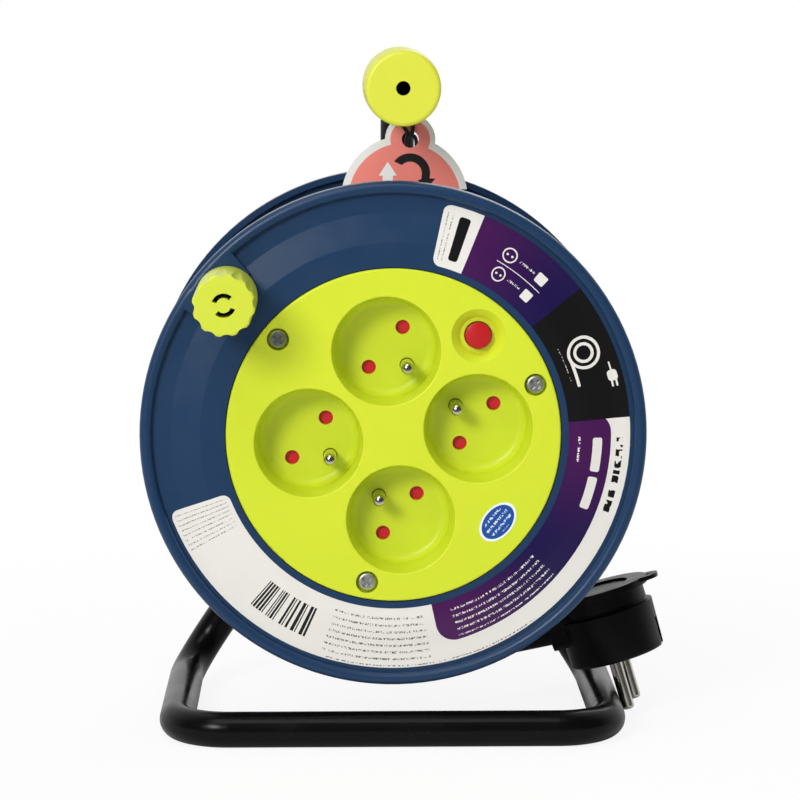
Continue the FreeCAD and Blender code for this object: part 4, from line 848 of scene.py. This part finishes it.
class REEL_OT_finish_plug(bpy.types.Operator):
    """Gives the plug's pieces their finishes"""
    bl_idname = "reel.finish_plug"
    bl_label = "Plug finishes"

    def execute(self, context):
        dress(["plug_body", "plug_strain_relief"],
              moulded_plastic("moulded_pvc_plug_matt", "#09090A", 0.4, 0.45, 0.02, edge=0.4, shine=0.15))
        dress(["plug_lid"],
              moulded_plastic("moulded_pvc_lid_satin", "#0B0B0C", 0.34, 0.45, 0.015, edge=0.4, shine=0.15))
        dress(["plug_pins", "plug_earth_clips"],
              metal("nickel_plated_brass_plug", "#CFCBC2", 0.16, 0.3, (1.0, 1.0, 0.15), dull=0.08))
        return {"FINISHED"}


# Stage

class REEL_OT_stage(bpy.types.Operator):
    """Sets the camera, the floor, the backdrop light and the lamps"""
    bl_idname = "reel.stage"
    bl_label = "Camera, floor and lamps"

    def execute(self, context):
        scene = context.scene
        scene.view_settings.view_transform = "Standard"
        self.camera(scene)
        self.world(scene)
        self.floor()
        # Soft lamps: the main one high on the left in front, a wide one overhead and a weak one behind.
        self.lamp("lamp_main", (-0.82, -1.5, 0.88), 0.6, 18.0)
        self.lamp("lamp_overhead", (-0.25, -0.75, 1.55), 1.1, 8.0)
        self.lamp("lamp_behind", (0.5, 1.3, 1.1), 0.8, 6.0)
        return {"FINISHED"}

    def camera(self, scene):
        """The photograph's camera: its lens in mm, its place in metres and the way it looks."""
        data = bpy.data.cameras.new("camera")
        data.lens = 142.6
        data.sensor_width = 36.0
        data.sensor_fit = "HORIZONTAL"
        data.clip_start = 0.05
        camera = bpy.data.objects.new("camera", data)
        scene.collection.objects.link(camera)
        place = Vector((-0.02089, -1.16652, 0.26589))
        ahead = Vector((0.02046, 0.99219, -0.12303)).normalized()
        across = ahead.cross(Vector((0, 0, 1))).normalized()
        above = across.cross(ahead)
        turn = Matrix((across, above, -ahead)).transposed()
        camera.matrix_world = Matrix.Translation(place) @ turn.to_4x4()
        scene.camera = camera

    def world(self, scene):
        """A white backdrop for the camera, a dimmer light on the reel, and a room for reflections."""
        world = bpy.data.worlds.new("studio")
        scene.world = world
        world.use_nodes = True
        tree = world.node_tree
        tree.nodes.clear()
        path = add(tree, "LightPath")
        seen = add(tree, "Math", {0: path.outputs["Is Camera Ray"],
                                  1: path.outputs["Is Transmission Ray"]}, operation="MAXIMUM")
        # Reflections see the white backdrop behind the reel and a dark room on the camera's side.
        heading = add(tree, "SeparateXYZ", {0: add(tree, "TexCoord").outputs["Generated"]})
        room = add(tree, "MapRange", {"Value": heading.outputs[1], "From Min": -0.25, "From Max": 0.45,
                                      "To Min": 0.07, "To Max": 1.0}, interpolation_type="SMOOTHSTEP")
        shown = add(tree, "Math", {0: path.outputs["Is Glossy Ray"], 1: room.outputs["Result"]},
                    operation="MULTIPLY")
        seen = add(tree, "Math", {0: seen.outputs[0], 1: shown.outputs[0]}, operation="MAXIMUM")
        dim = add(tree, "Math", {0: path.outputs["Is Diffuse Ray"], 1: 0.42}, operation="MULTIPLY")
        strength = add(tree, "Math", {0: seen.outputs[0], 1: dim.outputs[0]}, operation="MAXIMUM")
        glow = add(tree, "Background", {"Color": (1.0, 1.0, 1.0, 1.0), "Strength": strength.outputs[0]})
        add(tree, "OutputWorld", {"Surface": glow.outputs["Background"]})

    def floor(self):
        """A white floor that keeps the reel's shadow and fades into the backdrop."""
        deselect()
        bpy.ops.mesh.primitive_plane_add(size=12.0, location=(0, 0, 0))
        floor = bpy.context.object
        floor.name = "floor"
        material, tree, shader = new_material("studio_floor_white")
        shader.inputs["Base Color"].default_value = (0.93, 0.93, 0.93, 1.0)
        shader.inputs["Roughness"].default_value = 0.9
        path = add(tree, "LightPath")
        white = add(tree, "Emission", {"Color": (1.0, 1.0, 1.0, 1.0), "Strength": 1.0})
        # Near the reel the floor shows its shadow; from 0.5 m away it is as white as the backdrop.
        flat = add(tree, "TexCoord").outputs["Object"]
        far = add(tree, "VectorMath", {0: flat}, operation="LENGTH").outputs["Value"]
        fade = add(tree, "MapRange", {"Value": far, "From Min": 0.15, "From Max": 0.5, "To Min": 0.89,
                                      "To Max": 1.0}, interpolation_type="SMOOTHSTEP")
        share = add(tree, "Math", {0: path.outputs["Is Camera Ray"], 1: fade.outputs["Result"]},
                    operation="MULTIPLY")
        mixed = add(tree, "MixShader", {0: share.outputs[0], 1: shader.outputs["BSDF"],
                                        2: white.outputs["Emission"]})
        # Reflections see a dark room on the camera's side, so the floor darkens towards it in them.
        ahead = add(tree, "SeparateXYZ", {0: flat}).outputs[1]
        gloom = add(tree, "MapRange", {"Value": ahead, "From Min": -0.3, "From Max": -0.05,
                                       "To Min": 0.9, "To Max": 0.0}, interpolation_type="SMOOTHSTEP")
        mirrored = add(tree, "Math", {0: path.outputs["Is Glossy Ray"], 1: gloom.outputs["Result"]},
                       operation="MULTIPLY")
        dark = add(tree, "Emission", {"Color": (1.0, 1.0, 1.0, 1.0), "Strength": 0.05})
        mixed = add(tree, "MixShader", {0: mirrored.outputs[0], 1: mixed.outputs[0],
                                        2: dark.outputs["Emission"]})
        output = next(node for node in tree.nodes if node.type == "OUTPUT_MATERIAL")
        tree.links.new(mixed.outputs[0], output.inputs["Surface"])
        floor.data.materials.append(material)

    def lamp(self, name, place, size, watts):
        """A round area lamp that points at the drum's axis."""
        data = bpy.data.lights.new(name, "AREA")
        data.shape = "DISK"
        data.size = size
        data.energy = watts
        lamp = bpy.data.objects.new(name, data)
        bpy.context.scene.collection.objects.link(lamp)
        place = Vector(place)
        aim = (place - AXIS).to_track_quat("Z", "Y").to_matrix()
        lamp.matrix_world = Matrix.Translation(place) @ aim.to_4x4()


class REEL_PT_panel(bpy.types.Panel):
    """The reel's operators and settings in the 3D view's sidebar"""
    bl_label = "Extension cord reel"
    bl_idname = "REEL_PT_panel"
    bl_space_type = "VIEW_3D"
    bl_region_type = "UI"
    bl_category = "Reel"

    def draw(self, context):
        for name in STEPS:
            self.layout.operator("reel." + name)
        for group in (context.scene.reel_colours, context.scene.reel_sizes):
            for key in group.bl_rna.properties.keys():
                if key not in ("rna_type", "name"):
                    self.layout.prop(group, key)


STEPS = ("stage", "winding", "free_end", "string", "finish_stand", "finish_drum", "finish_sockets",
         "finish_plug", "label", "seal", "arrows")
CLASSES = (ReelColours, ReelSizes, REEL_OT_stage, REEL_OT_winding, REEL_OT_free_end, REEL_OT_string,
           REEL_OT_finish_stand, REEL_OT_finish_drum, REEL_OT_finish_sockets, REEL_OT_finish_plug,
           REEL_OT_label, REEL_OT_seal, REEL_OT_arrows, REEL_PT_panel)


def register():
    for cls in CLASSES:
        bpy.utils.register_class(cls)
    bpy.types.Scene.reel_colours = PointerProperty(type=ReelColours)
    bpy.types.Scene.reel_sizes = PointerProperty(type=ReelSizes)


def unregister():
    del bpy.types.Scene.reel_sizes
    del bpy.types.Scene.reel_colours
    for cls in reversed(CLASSES):
        bpy.utils.unregister_class(cls)


def main():
    register()
    for name in STEPS:
        getattr(bpy.ops.reel, name)()


if __name__ == "__main__":
    main()
